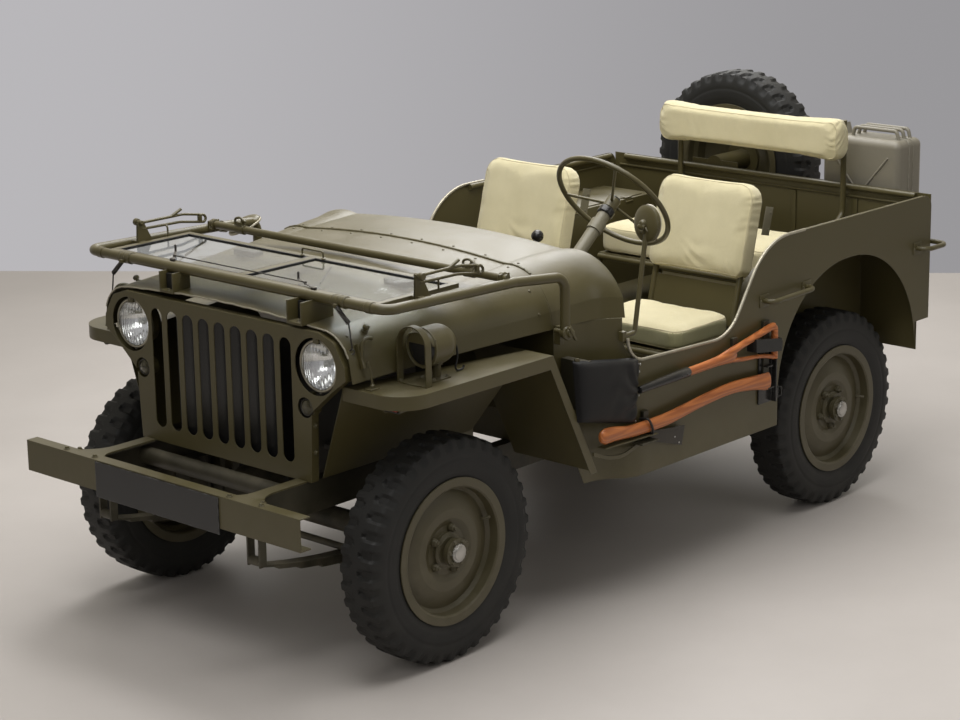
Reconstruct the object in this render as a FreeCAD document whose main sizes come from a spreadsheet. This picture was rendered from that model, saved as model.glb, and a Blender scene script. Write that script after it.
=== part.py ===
"""Open army 4x4 car with its windscreen folded on the hood.

The model is made in millimetres with +X forward, +Y to the driver's side (left) and +Z up.
Every sub-part is drawn from the front axle, and its Placement then moves it forward so
that the origin lies on the floor under the middle of the whole car.
"""
import FreeCAD, Part
import math
import operator
import os
import types

import Sketcher
from FreeCAD import Placement, Rotation, Vector

os.makedirs("parts", exist_ok=True)
doc = FreeCAD.newDocument("ArmyCar")
sheet = doc.addObject("Spreadsheet::Sheet", "Dimensions")

# Driving dimensions
DIMENSIONS = [
    ("wheelbase", 2032, "front axle to rear axle"),
    ("bumper_face", 582, "front axle to the bumper's front face"),
    ("rear_reach", 2755, "front axle to the spare tyre's rear face"),
    ("body_half", 750, "half width of the tub"),
    ("body_rear", 2520, "front axle to the tub's rear face"),
    ("sheet_metal", 2, "thickness of body panels"),
    ("axle_height", 355, "wheel centre above the floor"),
    ("track_half", 612, "car's middle to a tyre's middle plane"),
    ("tyre_half", 77, "half width of a tyre"),
    ("tread_half", 64, "half width of the tread"),
    ("rib_half", 14, "half width of the tread's middle rib"),
    ("lug_count", 28, "lugs round a tyre's side"),
    ("notch_share", 0.36, "share of the tread's round that is notched"),
    ("notch_depth", 9, "notch depth beside the middle rib"),
    ("bead_facets", 24, "flat facets round a tyre's bead"),
    ("flange_radius", 231, "rim flange radius"),
    ("flange_half", 74, "half width over the rim flanges"),
    ("bead_radius", 207, "bead seat radius"),
    ("well_radius", 190, "rim well radius"),
    ("rim_gauge", 6, "thickness of rim and wheel disc"),
    ("disc_offset", 40, "wheel disc outward from the tyre's middle plane"),
    ("hub_radius", 30, "wheel hub radius"),
    ("hub_cap_radius", 45, "hub flange radius"),
    ("hub_reach", 92, "hub end outward from the tyre's middle plane"),
    ("drum_radius", 128, "brake drum radius"),
    ("kingpin_half", 545, "car's middle to a kingpin axis"),
    ("ball_radius", 66, "axle end ball radius"),
    ("ball_gap", 1.5, "running gap round the axle ball"),
    ("knuckle_wall", 12, "knuckle housing wall"),
    ("arm_reach", 160, "kingpin to tie rod joint"),
    ("axle_radius", 36, "axle tube radius"),
    ("casing_radius", 112, "differential casing radius"),
    ("casing_side", 190, "differential to the right of the middle"),
    ("spring_half_gap", 345, "car's middle to a leaf spring"),
    ("spring_width", 45, "leaf width"),
    ("leaf_gauge", 7, "leaf thickness"),
    ("spring_top", 316, "top of the spring pack at the axle"),
    ("spring_rise", 59, "rise of a spring's ends"),
    ("spring_half", 495, "front spring half length"),
    ("rear_spring_half", 470, "rear spring half length"),
    ("rail_outer", 372, "car's middle to a frame rail's outer face"),
    ("rail_width", 45, "frame rail width"),
    ("rail_height", 100, "frame rail height"),
    ("rail_wall", 4, "frame rail wall"),
    ("rail_high", 486, "rail underside at the axles"),
    ("rail_low", 400, "rail underside amidships"),
    ("horn_front", 540, "front end of the rails"),
    ("eye_reach", 95, "towing eye behind the tub's rear"),
    ("eye_radius", 19, "towing eye hole radius"),
    ("eye_gauge", 26, "towing eye thickness"),
    ("bumper_half", 630, "half length of the bumper"),
    ("bumper_low", 495, "bumper underside"),
    ("bumper_height", 101, "bumper height"),
    ("bumper_wall", 4, "bumper plate thickness"),
    ("plate_half", 285, "half length of the blank plate"),
    ("plate_height", 115, "blank plate height"),
    ("plate_gauge", 4, "blank plate thickness"),
    ("grille_face", 303, "front axle to the grille's face"),
    ("grille_depth", 30, "grille flange depth"),
    ("grille_low", 588, "grille's lower edge"),
    ("slot_width", 50, "grille slot width"),
    ("slot_pitch", 73.5, "grille slot spacing"),
    ("slot_low", 637, "slot lower end"),
    ("slot_high", 1038, "slot upper end"),
    ("lamp_side", 423, "headlamp to the side of the middle"),
    ("lamp_height", 954, "headlamp centre height"),
    ("lamp_radius", 79, "headlamp radius"),
    ("lamp_hole", 88, "headlamp opening radius"),
    ("marker_side", 373, "marker lamp to the side of the middle"),
    ("marker_drop", 134, "marker lamp below the headlamp"),
    ("marker_radius", 27, "marker lamp radius"),
    ("seam_height", 945, "seam between cowl and tub side"),
    ("cowl_half", 655, "half width of the cowl's front end"),
    ("hood_front", 290, "front axle to the hood's front edge"),
    ("hood_rear", 500.2, "hood's rear edge behind the front axle"),
    ("cowl_rear", 765, "cowl's rear edge behind the front axle"),
    ("firewall_at", 524, "firewall behind the front axle"),
    ("fender_top", 900, "fender's top face"),
    ("fender_lip", 43, "fender lip height"),
    ("fender_front", 270, "fender's front edge"),
    ("fender_rear", 392, "fender top's rear edge behind the front axle"),
    ("fender_corner", 110, "fender's front corner radius"),
    ("apron_foot", 600, "apron's foot behind the front axle"),
    ("apron_low", 474, "apron's lower edge"),
    ("floor_top", 502, "front floor"),
    ("rear_floor_top", 612, "rear floor"),
    ("floor_step", 1572, "step up to the rear floor behind the front axle"),
    ("sill_low", 410, "lower edge of the tub side"),
    ("rail_top", 1075, "top edge of the tub"),
    ("door_low", 779, "lowest line of the door cut"),
    ("door_front", 757, "door cut's front edge behind the front axle"),
    ("door_fall", 1498, "where the door cut leaves the top edge"),
    ("door_foot", 1294, "where the door cut meets its low line"),
    ("tub_rear_low", 610, "lower edge of the tub's rear"),
    ("arch_front", 1570, "wheel arch front edge behind the front axle"),
    ("arch_rear", 2430, "wheel arch rear edge behind the front axle"),
    ("arch_top", 930, "wheel arch top"),
    ("arch_round", 415, "wheel arch corner radius"),
    ("house_side", 498, "wheelhouse inner wall from the middle"),
    ("house_top", 945, "wheelhouse top"),
    ("edge_radius", 11, "rolled top edge radius"),
    ("screen_half", 676, "windscreen tube from the middle"),
    ("screen_pivot_gap", 47, "windscreen pivot outward from the cowl's side"),
    ("screen_tube", 16, "windscreen tube radius"),
    ("screen_front", 252, "front axle to the folded windscreen's top bar"),
    ("screen_front_height", 1153, "top bar height when folded"),
    ("screen_bar", 270, "lower bar behind the front axle when folded"),
    ("screen_bar_height", 1153, "lower bar height when folded"),
    ("pivot_back", 505, "windscreen pivot behind the front axle"),
    ("pivot_height", 944, "windscreen pivot height"),
    ("pane_front", 222, "front axle to the glass frame's front edge"),
    ("pane_rear", 122, "glass frame's rear edge behind the front axle"),
    ("pane_half", 612, "half width of the glass frame"),
    ("pane_gauge", 5, "glass thickness"),
    ("wheel_rim", 210, "steering wheel ring radius"),
    ("wheel_grip", 9, "steering wheel grip radius"),
    ("column_radius", 22, "steering column radius"),
    ("driver_side", 360, "driver's middle from the car's middle"),
    ("hub_back", 1157, "steering wheel hub behind the front axle"),
    ("hub_height", 1215, "steering wheel hub height"),
    ("column_angle", 38.7, "steering column angle from level, degrees"),
    ("seat_front", 1225, "seat cushion's front behind the front axle"),
    ("seat_length", 345, "seat cushion length"),
    ("seat_half", 225, "half width of a front seat"),
    ("seat_low", 700, "underside of a seat cushion"),
    ("seat_thick", 85, "seat cushion thickness"),
    ("back_height", 360, "seat back cushion height"),
    ("back_thick", 86, "seat back cushion thickness"),
    ("back_lift", 165, "seat back cushion above the seat cushion's underside"),
    ("back_lean", 15, "lean of a seat back, degrees"),
    ("passenger_ahead", 130, "how far the passenger's seat stands ahead of the driver's"),
    ("bench_half", 430, "half width of the rear seat"),
    ("bench_front", 1960, "rear seat's front behind the front axle"),
    ("bench_length", 370, "rear seat cushion length"),
    ("bench_low", 800, "underside of the rear cushion"),
    ("rest_low", 1168, "underside of the rear backrest"),
    ("rest_height", 170, "rear backrest height"),
    ("rest_thick", 90, "rear backrest thickness"),
    ("rest_back", 2500, "rear backrest's rear face behind the front axle"),
    ("seat_tube", 11, "seat frame tube radius"),
    ("spare_side", 245, "spare wheel to the right of the middle"),
    ("spare_height", 1074, "spare wheel's centre height"),
    ("can_thick", 165, "jerry can front to back"),
    ("can_width", 345, "jerry can width"),
    ("can_height", 470, "jerry can height"),
    ("can_front", 2556, "jerry can's front face behind the front axle"),
    ("can_low", 813, "jerry can's bottom"),
    ("can_side", 408, "jerry can's middle from the car's middle"),
    ("handle_reach", 45, "grab handle's middle line outward from the tub's side"),
    ("handle_tube", 9, "grab handle radius"),
    ("tool_reach", 26, "tool handles' middle lines outward from the tub's side"),
]
for row, (alias, value, note) in enumerate(DIMENSIONS, start=1):
    sheet.set(f"A{row}", note)
    sheet.set(f"B{row}", str(value))
    sheet.setAlias(f"B{row}", alias)
doc.recompute()

OPERATIONS = {"+": operator.add, "-": operator.sub, "*": operator.mul, "/": operator.truediv}


class Size:
    """A number together with the sheet formula that gives it."""

    def __init__(self, value, formula):
        self.value = value
        self.formula = formula

    def __float__(self):
        return float(self.value)

    def __add__(self, other):
        return joined(self, "+", other)

    def __radd__(self, other):
        return joined(other, "+", self)

    def __sub__(self, other):
        return joined(self, "-", other)

    def __rsub__(self, other):
        return joined(other, "-", self)

    def __mul__(self, other):
        return joined(self, "*", other)

    def __rmul__(self, other):
        return joined(other, "*", self)

    def __truediv__(self, other):
        return joined(self, "/", other)

    def __neg__(self):
        return joined(-1, "*", self)


def as_size(number):
    """Give any plain number the same form as a sheet value."""
    if isinstance(number, Size):
        return number
    return Size(float(number), f"({float(number)})")


def joined(left, sign, right):
    """Work out a size and its formula from two others."""
    left, right = as_size(left), as_size(right)
    value = OPERATIONS[sign](left.value, right.value)
    return Size(value, f"({left.formula} {sign} {right.formula})")


dim = types.SimpleNamespace(**{
    alias: Size(float(sheet.get(alias)), f"Dimensions.{alias}") for alias, value, note in DIMENSIONS
})
rear_axle = -dim.wheelbase
front_reach = dim.bumper_face + dim.plate_gauge
axle_ahead = (dim.rear_reach - front_reach) / 2
marker_height = dim.lamp_height - dim.marker_drop
handle_out = dim.body_half + dim.handle_reach
tool_out = dim.body_half + dim.tool_reach
screen_pivot_half = dim.cowl_half + dim.screen_pivot_gap


def bind(item, prop, size):
    """Give a property its value and tie it to the sheet."""
    size = as_size(size)
    if "Dimensions" in size.formula:
        item.setExpression(prop, size.formula)
    elif "." not in prop:
        setattr(item, prop, size.value)


def place(item, x, y, z, turn=None):
    """Put an item at a point that stays tied to the sheet."""
    item.Placement = Placement(Vector(float(x), float(y), float(z)), turn or Rotation())
    for axis, size in (("x", x), ("y", y), ("z", z)):
        bind(item, f"Placement.Base.{axis}", size)
    return item


# Shapes that many sub-parts use
def block(xs, ys, zs):
    """Box between two values along each axis."""
    item = doc.addObject("Part::Box", "Block")
    bind(item, "Length", as_size(xs[1]) - xs[0])
    bind(item, "Width", as_size(ys[1]) - ys[0])
    bind(item, "Height", as_size(zs[1]) - zs[0])
    return place(item, xs[0], ys[0], zs[0])


AXIS_TURNS = {
    "x": Rotation(Vector(0, 1, 0), 90),
    "y": Rotation(Vector(1, 0, 0), -90),
    "z": Rotation(),
}


def rod(axis, start, length, radius):
    """Cylinder from a start point along one axis."""
    item = doc.addObject("Part::Cylinder", "Rod")
    bind(item, "Radius", radius)
    bind(item, "Height", length)
    return place(item, *start, turn=AXIS_TURNS[axis])


def ball(centre, radius):
    """Sphere round a point."""
    item = doc.addObject("Part::Sphere", "Ball")
    bind(item, "Radius", radius)
    return place(item, *centre)


def ring(centre, radius, grip, turn):
    """Torus round a point."""
    item = doc.addObject("Part::Torus", "Ring")
    bind(item, "Radius1", radius)
    bind(item, "Radius2", grip)
    return place(item, *centre, turn=turn)


def fused(*items):
    """One item from several that touch."""
    item = doc.addObject("Part::MultiFuse", "Fused")
    item.Shapes = list(items)
    return item


def cut(base, *tools):
    """One item less others."""
    item = doc.addObject("Part::Cut", "Cut")
    item.Base = base
    item.Tool = tools[0] if len(tools) == 1 else fused(*tools)
    return item


def shared(first, second):
    """What two items have in common."""
    item = doc.addObject("Part::MultiCommon", "Shared")
    item.Shapes = [first, second]
    return item


def grouped(*items):
    """Several solids that share one node."""
    item = doc.addObject("Part::Compound", "Group")
    item.Links = list(items)
    return item


def mirrored(item):
    """The same piece for the other side of the car."""
    twin = doc.addObject("Part::Mirroring", "Twin")
    twin.Source = item
    twin.Normal = Vector(0, 1, 0)
    twin.Base = Vector(0, 0, 0)
    return twin


def drawn(shape):
    """An item whose shape is worked out in this file from the sheet's values."""
    item = doc.addObject("Part::Feature", "Drawn")
    item.Shape = shape
    return item


def rounded(item, radius, pick=None):
    """Round the edges of an item that pick accepts, or all of them."""
    doc.recompute()
    result = doc.addObject("Part::Fillet", "Rounded")
    result.Base = item
    size = float(radius)
    result.Edges = [
        (number, size, size) for number, edge in enumerate(item.Shape.Edges, start=1)
        if pick is None or pick(edge)
    ]
    return result


def point(x, y, z):
    """Vector from sheet values."""
    return Vector(float(x), float(y), float(z))


def bent_path(points, bend):
    """Wire of straight runs joined by tangent arcs."""
    edges = []
    start = points[0]
    for before, corner, after in zip(points, points[1:], points[2:]):
        back = (before - corner).normalize()
        ahead = (after - corner).normalize()
        half = back.getAngle(ahead) / 2
        reach = bend / math.tan(half)
        middle = (back + ahead).normalize() * (bend / math.sin(half) - bend)
        first, last = corner + back * reach, corner + ahead * reach
        if (first - start).Length > 0.01:
            edges.append(Part.LineSegment(start, first).toShape())
        edges.append(Part.Arc(first, corner + middle, last).toShape())
        start = last
    edges.append(Part.LineSegment(start, points[-1]).toShape())
    return Part.Wire(edges)


def pipe_shape(points, radius, bend=None):
    """Round bar or tube along a bent path."""
    radius = float(radius)
    path = bent_path(points, float(bend or 3 * radius))
    along = points[1] - points[0]
    section = Part.Wire(Part.makeCircle(radius, points[0], along))
    return path.makePipeShell([section], True, False)


def pipe(points, radius, bend=None):
    """Item made by pipe_shape."""
    return drawn(pipe_shape(points, radius, bend))


# Sketches bound to the sheet
PLANES = {"xy": "XY_Plane", "xz": "XZ_Plane", "yz": "YZ_Plane"}


def new_sketch(body, plane, offset=0):
    """Empty sketch on one of the body's own planes, moved along its normal."""
    sketch = body.newObject("Sketcher::SketchObject", "Sketch")
    support = [plane_item for plane_item in body.Origin.OriginFeatures
               if plane_item.Role == PLANES[plane]][0]
    sketch.AttachmentSupport = [(support, "")]
    sketch.MapMode = "FlatFace"
    offset = as_size(offset)
    sketch.AttachmentOffset = Placement(Vector(0, 0, offset.value), Rotation())
    bind(sketch, "AttachmentOffset.Base.z", offset)
    return sketch


def limit(sketch, size, *constraint):
    """Add a dimension to a sketch and tie it to the sheet."""
    size = as_size(size)
    index = sketch.addConstraint(Sketcher.Constraint(*constraint, size.value))
    if "Dimensions" in size.formula:
        sketch.setExpression(f"Constraints[{index}]", size.formula)


def corner_arc(before, corner, after, radius):
    """Where a rounded corner starts and ends, with its arc and whether it turns left."""
    back = (before - corner).normalize()
    ahead = (after - corner).normalize()
    half = back.getAngle(ahead) / 2
    first = corner + back * (radius / math.tan(half))
    last = corner + ahead * (radius / math.tan(half))
    centre = corner + (back + ahead).normalize() * (radius / math.sin(half))
    left = back.cross(ahead).z < 0
    begin, end = (first, last) if left else (last, first)
    angles = [math.atan2(tip.y - centre.y, tip.x - centre.x) for tip in (begin, end)]
    circle = Part.Circle(centre, Vector(0, 0, 1), radius)
    return first, last, Part.ArcOfCircle(circle, angles[0], angles[1]), left


def outline(sketch, corners):
    """Closed outline through corners (across, up) or rounded ones (across, up, radius)."""
    corners = [tuple(as_size(size) for size in corner) for corner in corners]
    points = [Vector(corner[0].value, corner[1].value, 0) for corner in corners]
    count = len(corners)
    arcs = {}
    for index, corner in enumerate(corners):
        if len(corner) == 3:
            arcs[index] = corner_arc(points[index - 1], points[index],
                                     points[(index + 1) % count], corner[2].value)
    lines = []
    for index in range(count):
        after = (index + 1) % count
        start = arcs[index][1] if index in arcs else points[index]
        end = arcs[after][0] if after in arcs else points[after]
        lines.append(sketch.addGeometry(Part.LineSegment(start, end), False))
    for index, corner in enumerate(corners):
        into, out = lines[index - 1], lines[index]
        if index in arcs:
            first, last, arc, left = arcs[index]
            curve = sketch.addGeometry(arc, False)
            begin, end = (1, 2) if left else (2, 1)
            sketch.addConstraint(Sketcher.Constraint("Tangent", into, 2, curve, begin))
            sketch.addConstraint(Sketcher.Constraint("Tangent", curve, end, out, 1))
            pin = sketch.addGeometry(Part.Point(points[index]), True)
            sketch.addConstraint(Sketcher.Constraint("PointOnObject", pin, 1, into))
            sketch.addConstraint(Sketcher.Constraint("PointOnObject", pin, 1, out))
            limit(sketch, corner[2], "Radius", curve)
        else:
            sketch.addConstraint(Sketcher.Constraint("Coincident", into, 2, out, 1))
            pin = out
        limit(sketch, corner[0], "DistanceX", -1, 1, pin, 1)
        limit(sketch, corner[1], "DistanceY", -1, 1, pin, 1)


def both_sides(half):
    """Outline of a piece that is alike on both sides, from its half at positive values."""
    other = [(-as_size(corner[0]), *corner[1:]) for corner in reversed(half)]
    return list(half) + [corner for corner in other if abs(corner[0].value) > 1e-9]


def new_body():
    """Empty body."""
    return doc.addObject("PartDesign::Body", "Body")


def pad(body, sketch, length):
    """Give a sketch its thickness."""
    feature = body.newObject("PartDesign::Pad", "Pad")
    feature.Profile = sketch
    bind(feature, "Length", length)
    return feature


def pocket(body, sketch, length, reverse=False):
    """Cut a sketch out of the body, and make sure that it does cut."""
    doc.recompute()
    before = body.Shape.Volume
    feature = body.newObject("PartDesign::Pocket", "Pocket")
    feature.Profile = sketch
    feature.Reversed = reverse
    bind(feature, "Length", length)
    doc.recompute()
    if not body.Shape.Volume < before - 1:
        raise ValueError("a pocket cuts nothing")
    return feature


def slab(plane, corners, start, thickness):
    """Flat piece whose outline lies in a plane and which runs from start to start + thickness."""
    body = new_body()
    offset = -(as_size(start) + thickness) if plane == "xz" else start
    sketch = new_sketch(body, plane, offset)
    outline(sketch, corners)
    pad(body, sketch, thickness)
    return body


def turned(body, corners):
    """Add a ring to a body by turning an outline of (y, radius) round the Y axis."""
    sketch = new_sketch(body, "yz")
    outline(sketch, corners)
    feature = body.newObject("PartDesign::Revolution", "Turned")
    feature.Profile = sketch
    feature.ReferenceAxis = (sketch, ["H_Axis"])
    feature.Angle = 360
    return feature


nodes = {}


def node(label, item):
    """Register a finished sub-part: it gets its name and its place in the car."""
    nodes[label] = place(grouped(item), axle_ahead, 0, 0)
    nodes[label].Label = label


# Frame, bumper and plate
def rail_corners(inset, overrun):
    """Side outline of a frame rail, drawn in by inset above and below."""
    stations = [
        (dim.horn_front + overrun, dim.rail_high),
        (-60, dim.rail_high),
        (-dim.spring_half + 20, dim.rail_low),
        (rear_axle + dim.rear_spring_half - 10, dim.rail_low),
        (rear_axle + dim.rear_spring_half - 190, dim.rail_high),
        (rear_axle - dim.rear_spring_half - 15 - overrun, dim.rail_high),
    ]
    lower = [(x, z + inset) for x, z in stations]
    upper = [(x, z + dim.rail_height - inset) for x, z in reversed(stations)]
    return lower + upper


def frame():
    """Two channel rails, their crossmembers and the towing hook."""
    rail = slab("xz", rail_corners(0, 0), dim.rail_outer - dim.rail_width, dim.rail_width)
    hollow = new_sketch(rail, "xz", -(dim.rail_outer - dim.rail_wall))
    outline(hollow, rail_corners(dim.rail_wall, 5))
    pocket(rail, hollow, dim.rail_width, reverse=True)
    reach = dim.rail_outer - dim.rail_wall / 2
    high, low = dim.rail_high, dim.rail_low
    members = [
        rod("y", (320, -reach, high + 50), 2 * reach, 28),
        block((-900, -840), (-reach, reach), (low + 25, low + 31.7)),
        block((-1475, -1425), (-reach, reach), (low + 40, low + 90)),
        block((-1860, -1800), (-reach, reach), (high + 6, high + 60)),
        block((-dim.body_rear + 8, -dim.body_rear + 60), (-reach, reach), (high + 6, high + 94)),
    ]
    hook_height = high + 50
    eye_x = -dim.body_rear - dim.eye_reach
    hook = [
        block((-dim.body_rear - 8, -dim.body_rear + 10), (-60, 60), (high + 10, high + 90)),
        block((eye_x, -dim.body_rear), (-18, 18), (hook_height - 11, hook_height + 11)),
        rod("z", (eye_x, 0, hook_height - dim.eye_gauge / 2), dim.eye_gauge, dim.eye_radius + 15),
    ]
    body_mounts = [
        block((x, x + 60), (side * dim.rail_outer - (35 if side > 0 else 0),
                            side * dim.rail_outer + (0 if side > 0 else 35)),
              (high + dim.rail_height, dim.rear_floor_top - dim.sheet_metal))
        for x in (-2400, -1840) for side in (-1, 1)
    ]
    eye_hole = rod("z", (eye_x, 0, hook_height - dim.eye_gauge), 2 * dim.eye_gauge, dim.eye_radius)
    return cut(fused(rail, mirrored(rail), *members, *hook, *body_mounts), eye_hole)


def bumper():
    """Channel bumper with the plates that tie it to the rails."""
    back = dim.bumper_face - 42
    high = dim.bumper_low + dim.bumper_height
    channel = new_body()
    sketch = new_sketch(channel, "xz", -dim.bumper_half)
    outline(sketch, [
        (back, dim.bumper_low),
        (dim.bumper_face, dim.bumper_low),
        (dim.bumper_face, high),
        (back, high),
        (back, high - dim.bumper_wall),
        (dim.bumper_face - dim.bumper_wall, high - dim.bumper_wall),
        (dim.bumper_face - dim.bumper_wall, dim.bumper_low + dim.bumper_wall),
        (back, dim.bumper_low + dim.bumper_wall),
    ])
    pad(channel, sketch, 2 * dim.bumper_half)
    inner = dim.bumper_face - dim.bumper_wall
    gusset = slab("xy", [
        (inner, 215), (inner, 530), (500, dim.rail_outer, 110),
        (dim.grille_face + 2, dim.rail_outer), (dim.grille_face + 2, dim.rail_outer - dim.rail_width), (525, dim.rail_outer - dim.rail_width, 70),
    ], dim.rail_high + dim.rail_height, 5)
    return fused(channel, gusset, mirrored(gusset))


node("frame", frame())
node("bumper", bumper())
node("number_plate", block(
    (dim.bumper_face, front_reach),
    (-dim.plate_half, dim.plate_half),
    (dim.bumper_low - 18, dim.bumper_low - 18 + dim.plate_height),
))


# Springs, axles and steering
LEAF_SHARES = [1.0, 0.86, 0.68, 0.5, 0.33]


def leaf_pack(middle, half, side, shackle_at):
    """Bowed leaves with eyes, clamp, U-bolts, a hanger at one end and a shackle at the other."""
    half, side, middle = float(half), float(side), float(middle)
    rise, gauge = float(dim.spring_rise), float(dim.leaf_gauge)
    width, top = float(dim.spring_width), float(dim.spring_top)
    bow = (half ** 2 + rise ** 2) / (2 * rise)
    centre = Vector(middle, side - width / 2, top + bow)
    pieces = []
    for number, share in enumerate(LEAF_SHARES):
        spread = math.degrees(math.asin(half * share / bow))
        inner, outer = bow + number * gauge, bow + (number + 1) * gauge
        leaf = Part.makeCylinder(outer, width, centre, Vector(0, 1, 0), 360)
        leaf = leaf.cut(Part.makeCylinder(inner, width, centre, Vector(0, 1, 0), 360))
        span = 2 * outer * math.sin(math.radians(spread))
        window = Part.makeBox(span, width, 2 * rise + 60,
                              Vector(middle - span / 2, side - width / 2, top - 60))
        pieces.append(leaf.common(window))
    eye_height = top + rise + 9
    eye, wall, pin = 15, 6, 8
    for sign in (-1, 1):
        at = Vector(middle + sign * half, side - width / 2, eye_height)
        pieces.append(Part.makeCylinder(eye, width, at, Vector(0, 1, 0)))
        hung = sign == shackle_at
        lift = float(dim.rail_high if hung else dim.rail_low)
        reach = 14 if hung else 20
        for edge in (side - width / 2 - wall, side + width / 2):
            plate = Part.makeBox(2 * reach, wall, lift - eye_height + eye,
                                 Vector(at.x - reach, edge, eye_height - eye))
            pieces.append(plate)
        upper = Vector(at.x, side - width / 2, lift - pin)
        pieces.append(Part.makeCylinder(pin, width, upper, Vector(0, 1, 0)))
    bottom = top - len(LEAF_SHARES) * gauge
    tube = float(dim.axle_radius)
    pieces.append(Part.makeBox(150, width + 40, 9.5,
                               Vector(middle - 75, side - width / 2 - 20, bottom - 8)))
    saddle = float(dim.axle_height) + tube + 0.5
    for edge in (side - width / 2 - 8, side + width / 2 + 8):
        for sign in (-1, 1):
            foot = Vector(middle + sign * (tube + 7), edge, bottom - 8)
            pieces.append(Part.makeCylinder(6, saddle + 9 - bottom, foot))
        pieces.append(Part.makeBox(2 * tube + 26, 12, 10,
                                   Vector(middle - tube - 13, edge - 6, saddle)))
    return drawn(pieces[0].fuse(pieces[1:]).removeSplitter())


def axle_beam(middle, end):
    """Axle tube with its differential casing and spring seats."""
    height = dim.axle_height
    seat_low = dim.spring_top + 0.4
    pieces = [
        rod("y", (middle, -end, height), 2 * end, dim.axle_radius),
        ball((middle, -dim.casing_side, height), dim.casing_radius),
    ]
    for side in (-1, 1):
        at = side * dim.spring_half_gap
        pieces.append(block((middle - 30, middle + 30), (at - 22, at + 22), (seat_low, height)))
    return pieces


def front_axle():
    """Front axle with the balls that the knuckles turn on."""
    pieces = axle_beam(0, dim.kingpin_half)
    for side in (-1, 1):
        pieces.append(ball((0, side * dim.kingpin_half, dim.axle_height), dim.ball_radius))
    pieces.append(rod("x", (-205, -dim.casing_side, dim.axle_height), 150, 40))
    return fused(*pieces)


def backing_plate(side_sign, middle, side):
    """Round plate that closes a brake drum."""
    start = side_sign * (side - 29) if side_sign > 0 else -(side - 25)
    return rod("y", (middle, start, dim.axle_height), 4, dim.drum_radius + 2)


def rear_axle_beam():
    """Rear axle with the backing plates of its brakes."""
    end = dim.track_half + 19.6
    pieces = axle_beam(rear_axle, end)
    for sign in (-1, 1):
        pieces.append(backing_plate(sign, rear_axle, dim.track_half))
    pieces.append(rod("x", (rear_axle + 55, -dim.casing_side, dim.axle_height), 150, 40))
    return fused(*pieces)


def knuckle():
    """Left steering knuckle, drawn from the middle of its wheel."""
    kingpin = dim.kingpin_half - dim.track_half
    inner = dim.ball_radius + dim.ball_gap
    outer = inner + dim.knuckle_wall
    shell = cut(ball((0, kingpin, 0), outer),
                block((-outer, outer), (kingpin - outer, kingpin - 18), (-outer, outer)))
    pieces = [
        shell,
        rod("y", (0, -29, 0), 4, dim.drum_radius + 2),
        rod("y", (0, 5, 0), 14.6, 24),
        rod("z", (0, kingpin, inner + 3), 22, 22),
        rod("z", (0, kingpin, -inner - 25), 22, 22),
        block((52, dim.arm_reach), (kingpin - 11, kingpin + 11), (-60, -42)),
        rod("z", (dim.arm_reach, kingpin, -60), 18, 15),
        rod("z", (dim.arm_reach, kingpin, -45), 20.5, 7),
    ]
    return cut(fused(*pieces), ball((0, kingpin, 0), inner))


def tie_rod():
    """Rod between the arms of the two knuckles."""
    height = dim.axle_height - 24
    pieces = [rod("y", (dim.arm_reach, -dim.kingpin_half, height + 12), 2 * dim.kingpin_half, 11)]
    for sign in (-1, 1):
        pieces.append(rod("z", (dim.arm_reach, sign * dim.kingpin_half, height), 24, 16))
    return fused(*pieces)


node("leaf_springs", grouped(
    leaf_pack(0, dim.spring_half, dim.spring_half_gap, 1),
    leaf_pack(0, dim.spring_half, -dim.spring_half_gap, 1),
    leaf_pack(rear_axle, dim.rear_spring_half, dim.spring_half_gap, -1),
    leaf_pack(rear_axle, dim.rear_spring_half, -dim.spring_half_gap, -1),
))
node("front_axle", front_axle())
node("rear_axle", rear_axle_beam())
node("tie_rod", tie_rod())
left_knuckle = knuckle()
right_knuckle = mirrored(left_knuckle)
node("knuckle_left", grouped(place(left_knuckle, 0, dim.track_half, dim.axle_height)))
node("knuckle_right", grouped(right_knuckle))


# Wheels
def wheel_disc():
    """Rim and dished disc of a wheel, drawn round its own middle."""
    body = new_body()
    well = dim.well_radius
    gauge = dim.rim_gauge
    turned(body, both_sides([
        (26, well),
        (38, dim.bead_radius - 4),
        (dim.flange_half - 7, dim.bead_radius),
        (dim.flange_half - 5, dim.flange_radius),
        (dim.flange_half, dim.flange_radius),
        (dim.flange_half, dim.bead_radius - 2),
        (dim.flange_half - 4, dim.bead_radius - gauge - 1),
        (40, dim.bead_radius - gauge - 4),
        (28, well - gauge),
    ]))
    face = dim.disc_offset
    turned(body, [
        (face - 20, well - 4), (face - 10, well - 4), (face, well - 30), (face + 10, well - 62),
        (face + 10, 100), (face, 78), (face, dim.hub_radius - 2),
        (face - gauge, dim.hub_radius - 2), (face - gauge, 80),
        (face + 10 - gauge, 102), (face + 10 - gauge, well - 64), (face - gauge, well - 32),
    ])
    return body


def hub_and_drum():
    """Hub with its flange and the brake drum, drawn round the wheel's middle."""
    face = dim.disc_offset
    drum = dim.drum_radius
    hub = dim.hub_radius
    body = new_body()
    turned(body, [
        (-19, drum), (20, drum), (face - 6, 100), (face - 6, hub - 4), (20, hub - 4),
        (20, hub), (face - 14, hub), (face - 14, 96), (16, drum - 6), (-19, drum - 6),
    ])
    cap = dim.hub_cap_radius
    return fused(
        body,
        rod("y", (0, 20, 0), dim.hub_reach - 20, hub),
        rod("y", (0, face, 0), 10, 58),
        rod("y", (0, dim.hub_reach - 14, 0), 9, cap),
    )


def ring_points(across, radius, angles):
    """Points on a circle round the Y axis."""
    across, radius = float(across), float(radius)
    return [Vector(radius * math.cos(angle), across, radius * math.sin(angle)) for angle in angles]


def polygon_face(corners):
    """Flat face between corners."""
    return Part.Face(Part.makePolygon(corners + corners[:1]))


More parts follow.
